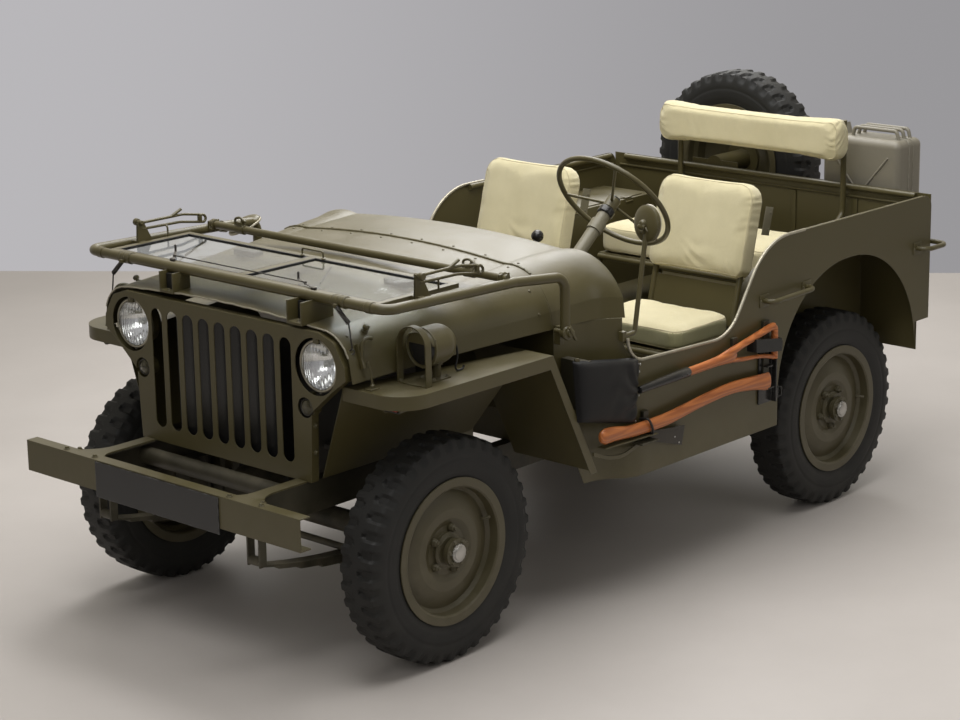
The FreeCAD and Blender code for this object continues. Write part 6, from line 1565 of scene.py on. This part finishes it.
def filleted(corners, steps=9):
    """Points along a line in the X-Z plane whose corners (x, z, radius) are true arcs."""
    points = [Vector((corners[0][0], corners[0][1]))]
    for before, corner, after in zip(corners, corners[1:], corners[2:]):
        middle = Vector(corner[:2])
        back, ahead = (Vector(before[:2]) - middle).normalized(), (Vector(after[:2]) - middle).normalized()
        half = math.acos(max(-1.0, min(1.0, back.dot(ahead)))) / 2
        centre = middle + (back + ahead).normalized() * corner[2] / math.sin(half)
        first, last = middle + back * corner[2] / math.tan(half), middle + ahead * corner[2] / math.tan(half)
        for step in range(steps + 1):
            towards = (first - centre).lerp(last - centre, step / steps).normalized()
            points.append(centre + towards * corner[2])
    points.append(Vector(corners[-1][:2]))
    return points


DOOR_CUT = filleted([(-1.72, 1.075, 0), (-1.498, 1.075, 0.250), (-1.294, 0.779, 0.154), (-0.757, 0.800, 0.084),
                     (-0.757, 0.93, 0)])
edges = Bench()
for side in (1, -1):
    edges.rod([(spot.x, side * (SIDE - 0.0030), spot.y) for spot in DOOR_CUT[:-1]], 0.0055, 0.0, 8)
# The bright edge is partly worn metal and partly a painted highlight.
edges.done("door_edges", "car", worn_edge_and_highlight, "bare_steel")

trim = Bench()
for side in (1, -1):
    curved = filleted([(-0.500, 0.868, 0), (-0.530, 0.760, 0.30), (-0.522, 0.662, 0)])
    trim.strip([(spot.x, side * (SIDE + 0.002), spot.y) for spot in curved], (1, 0, 0.1), 0.020, 0.004)
shelf = [(-0.575, SIDE + 0.004, 0.540), (-0.650, SIDE + 0.004, 0.510), (-0.720, SIDE + 0.004, 0.500),
         (-0.833, SIDE + 0.004, 0.530)]
trim.strip(rounded_path(shelf, 0.05), (0, 0, 1), 0.012, 0.007)
trim.sheet([(-0.600, SIDE, 0.560), (-0.600, SIDE + 0.036, 0.560), (-0.860, SIDE + 0.040, 0.552),
            (-0.860, SIDE, 0.552)], (0, 0, -1), 0.003)
trim.done("side_strips", "car", olive, "olive_paint")
print("tools, straps and door edges")

# %% [markdown]
# ## Steering wheel, levers and mirror
# A black collar closes the column under the wheel, the levers carry black knobs, and the round
# mirror gets its domed back, bright rim and clamp. The horn button turns with the wheel.

# %% Driver's trim
HUB = Vector((-1.157, 0.36, 1.215))
LEAN = math.radians(38.7)
COLUMN = Vector((math.cos(LEAN), 0, -math.sin(LEAN)))
collar = Bench()
collar.turned(HUB, COLUMN, [(0.037, 0.0200), (0.037, 0.0260), (0.040, 0.0285), (0.058, 0.0285), (0.062, 0.0255),
                            (0.062, 0.0200), (0.037, 0.0200)], 32)
collar.done("column_collar", "car", black_enamel, "black_plate")
button = Bench()
button.turned(HUB, -COLUMN, [(0.004, 0.0235), (0.008, 0.0245), (0.011, 0.023), (0.013, 0.018), (0.0145, 0.0)], 28)
button.done("horn_button", "steering_hand_wheel", black_enamel, "black_plate")

knobs = Bench()
for centre, radius in (((-1.188, -0.008, 1.043), 0.0222), ((-1.064, -0.064, 0.856), 0.0160)):
    arc = [(-radius * math.cos(math.pi * step / 12), radius * math.sin(math.pi * step / 12)) for step in range(13)]
    knobs.turned(centre, (-0.6, 0, 0.8), [(d, max(r, 0.0)) for d, r in arc], 22)
knobs.done("lever_knobs", "car", black_enamel, "black_plate")

MIRROR = Vector((-0.883, 0.733, 1.232))
facing = Vector((1, -0.2, 0.1)).normalized()
dome = Bench()
dome.turned(MIRROR, facing, [(0.0105, 0.0585), (0.0135, 0.0580), (0.0175, 0.0520), (0.0205, 0.040), (0.0225, 0.024),
                             (0.0235, 0.010), (0.0238, 0.0)], 44)
joint = MIRROR + facing * 0.030
dome.turned(joint - facing * 0.007, facing, [(0, 0.013), (0.004, 0.0135), (0.010, 0.011), (0.013, 0.007)], 16)
dome.turned(joint + Vector((0, -0.014, -0.010)), (0, 1, 0),
            [(0, 0.006), (0.003, 0.0085), (0.024, 0.0085), (0.027, 0.006)], 14)
dome.block(joint + Vector((-0.006, -0.009, -0.034)), joint + Vector((0.006, 0.009, -0.002)), 0.003)
dome.bolt(joint + Vector((0.004, 0.0, -0.024)), (1, 0, 0), 0.010, 0.006)
dome.rod([joint + Vector((0.002, 0.016, -0.010)), joint + Vector((0.004, 0.026, -0.022))], 0.0026, 0.0, 8)
dome.done("mirror_back", "car", olive, "olive_paint")
rim = Bench()
rim.hoop(MIRROR + facing * 0.001, facing, 0.0590, 0.0022, 56, 8)
# The bright rim is partly worn metal and partly a painted highlight.
rim.done("mirror_rim", "car", worn_edge_and_highlight, "bare_steel")
face = Bench()
face.turned(MIRROR, facing, [(-0.0012, 0.0), (-0.0010, 0.056), (0.001, 0.0575)], 48)
face.done("mirror_glass", "car", chrome, "bare_steel")
print("driver's trim")

# %% [markdown]
# ## Bolts and small plates of the body
# Rounded bolt heads hold the gussets to the bumper, the grille to the frame and the aprons to the
# fenders. The grab handles stand on foot plates, the front seat backs have perforated ears, and a
# bead runs along the inner side of the tub. Each bolt's place is found by a ray, as before.

# %% Body bolts
bolts = Bench()


for side in (1, -1):
    for x, y in ((0.563, 0.312), (0.533, 0.424), (0.563, 0.450)):
        bolts.bolt(*on_panel("bumper", (x, side * y, 1.0), (0, 0, -1)))
    for z in (0.766, 0.681):
        bolts.bolt(*on_panel("grille", (0.285, side * 0.60, z), (0, -side, 0)), 0.012)
    apron = "fender_left" if side > 0 else "fender_right"
    bolts.bolt(*on_panel(apron, (-0.20, side * 0.716, 0.70), (-1, 0, 0)), 0.010, 0.006)
bolts.done("body_bolts", "car", olive, "olive_paint")

feet = Bench()
for side in (1, -1):
    for x, z in ((-1.485, 0.868), (-1.731, 0.872), (-2.430, 0.888)):
        feet.block((x - 0.026, side * SIDE - (0.002 if side < 0 else 0), z - 0.022),
                   (x + 0.026, side * SIDE + (0.002 if side > 0 else 0), z + 0.022), 0.0008)
        for step in (-0.018, 0.018):
            feet.rivet((x + step, side * (SIDE + 0.002), z), (0, side, 0), 0.0050)
feet.done("handle_feet", "car", olive, "olive_paint")

# %% Ears of the seat backs
BACK_AXIS = Vector((-math.sin(BACK_LEAN), 0, math.cos(BACK_LEAN)))
ears = Bench()
for _, middle, ahead in FRONT:
    for hand in (1, -1):
        low = BACK_FOOT + Vector((ahead + 0.014, 0, 0)) + BACK_AXIS * 0.18
        low.y = middle + hand * 0.222
        high = low + BACK_AXIS * 0.100
        rear = Vector((-0.042, 0, -0.010))
        ears.sheet([low, high, high + rear, low + rear], (0, hand, 0), 0.0025, bevel=0.0006)
        for step in (0.080, 0.020):
            at = low + BACK_AXIS * step + rear * 0.72
            ears.turned(at + Vector((0, hand * 0.001, 0)), (0, hand, 0),
                        [(0, 0.0045), (0.0032, 0.0045), (0.0036, 0.003), (0.0030, 0.0)], 12)
ears.done("seat_back_ears", "car", column_paint, "olive_paint")

# %% Lids and beads inside the tub
lids = Bench()
LID_FRONT, LID_REAR, LID_IN, LID_OUT = -1.90, -2.40, 0.515, 0.742
for side in (1, -1):
    level = on_panel("wheelhouses", (-2.1, side * 0.62, 2.0), (0, 0, -1))[0].z
    low, high = sorted((side * LID_IN, side * LID_OUT))
    lids.block((LID_REAR, low, level), (LID_FRONT, high, level + 0.004), 0.0015)
    for x in (-1.98, -2.30):
        lids.turned((x, side * 0.500, level - 0.012), (1, 0, 0), [(-0.022, 0.004), (-0.020, 0.0055), (0.020, 0.0055),
                                                                  (0.022, 0.004)], 10)
        low, high = sorted((side * 0.500, side * 0.530))
        lids.block((x - 0.020, low, level + 0.002), (x + 0.020, high, level + 0.0060), 0.001)
    lids.rod([(-1.86, side * 0.7455, 1.030), (-2.500, side * 0.7455, 1.030)], 0.004, 0.0, 8)
lids.rod([(-2.5140, -0.72, 1.028), (-2.5140, 0.72, 1.028)], 0.005, 0.0, 8)
for y in (-0.42, -0.14, 0.14, 0.42):
    lids.block((-2.5165, y - 0.010, 0.70), (-2.5125, y + 0.010, 1.02), 0.001)
lids.done("tub_lids_and_beads", "car", olive, "olive_paint")

# %% Floor ribs and pedal rubbers
ribs = Bench()
for side in (1, -1):
    for number in range(5):
        x = -0.80 - 0.065 * number
        level = on_panel("tub_floor", (x, side * 0.40, 0.60), (0, 0, -1))[0].z
        low, high = sorted((side * 0.17, side * 0.62))
        ribs.block((x - 0.014, low, level - 0.0005), (x + 0.014, high, level + 0.0045), 0.002)
ribs.done("floor_ribs", "car", column_paint, "olive_paint")
print("bolts, ears, lids and ribs")

# %% [markdown]
# ## Pressings of the fuel can
# The broad faces of the can are stiffened by a pressed cross, and a double bead runs over the
# narrow ends, where the two halves are welded together. Half-sunk rods give the same raised lines
# as a press does, and cost far less than cutting the can.

# %% Can pressings
CAN_FRONT, CAN_THICK, CAN_MIDDLE, CAN_HALF = -2.556, 0.165, 0.408, 0.1725
can = Bench()
for face, outward in ((CAN_FRONT, 1), (CAN_FRONT - CAN_THICK, -1)):
    for slope in (1, -1):
        can.rod([(face, CAN_MIDDLE - 0.125, 1.03 - slope * 0.15), (face, CAN_MIDDLE + 0.125, 1.03 + slope * 0.15)],
                0.0045, 0.0, 10)
    can.turned((face, CAN_MIDDLE, 1.03), (outward, 0, 0), [(-0.003, 0.034), (0.0, 0.034), (0.0040, 0.030),
                                                           (0.0045, 0.0)], 28)
middle = CAN_FRONT - CAN_THICK / 2
for end in (1, -1):
    for shift in (-0.014, 0.014):
        y = CAN_MIDDLE + end * CAN_HALF
        can.rod([(middle + shift, y - end * 0.030, 0.8135), (middle + shift, y, 0.8135), (middle + shift, y, 1.2425),
                 (middle + shift, y - end * 0.060, 1.2425)], 0.0038, 0.030, 8)
can.done("can_pressings", "car", can_steel, "bare_steel")
print("can pressed")

# %% [markdown]
# ## Floor
# The floor ends where the studio wall begins, behind the car, and that edge is not quite square
# to the view. The corners are given by how far they lie to the right of the car's middle and
# how far away from the camera, in metres.

# %% Studio floor
floor_mesh = bpy.data.meshes.new("studio_floor")
sideways = Vector((view_right.x, view_right.y, 0))
away = Vector((-view_back.x, -view_back.y, 0)).normalized()
FLOOR_SIDE, FLOOR_NEAR, FLOOR_FAR, FLOOR_SLOPE = 8.0, 5.0, 4.116, 0.0894
ends = [(-FLOOR_SIDE, -FLOOR_NEAR), (FLOOR_SIDE, -FLOOR_NEAR),
        (FLOOR_SIDE, FLOOR_FAR - FLOOR_SLOPE * FLOOR_SIDE), (-FLOOR_SIDE, FLOOR_FAR + FLOOR_SLOPE * FLOOR_SIDE)]
floor_mesh.from_pydata([tuple(sideways * across + away * ahead) for across, ahead in ends], [], [(0, 1, 2, 3)])
floor = bpy.data.objects.new("studio_floor", floor_mesh)
scene.collection.objects.link(floor)
concrete, tree, shader = new_finish("pale_floor", Roughness=0.55)
cloud = noise(tree, own_place(tree), 1.3, 6.0, 0.6)
feed(tree, shader, Base_Color=mixed(tree, cloud, rgb(0.42, 0.385, 0.355), rgb(0.53, 0.49, 0.455)))
floor_mesh.materials.append(concrete)
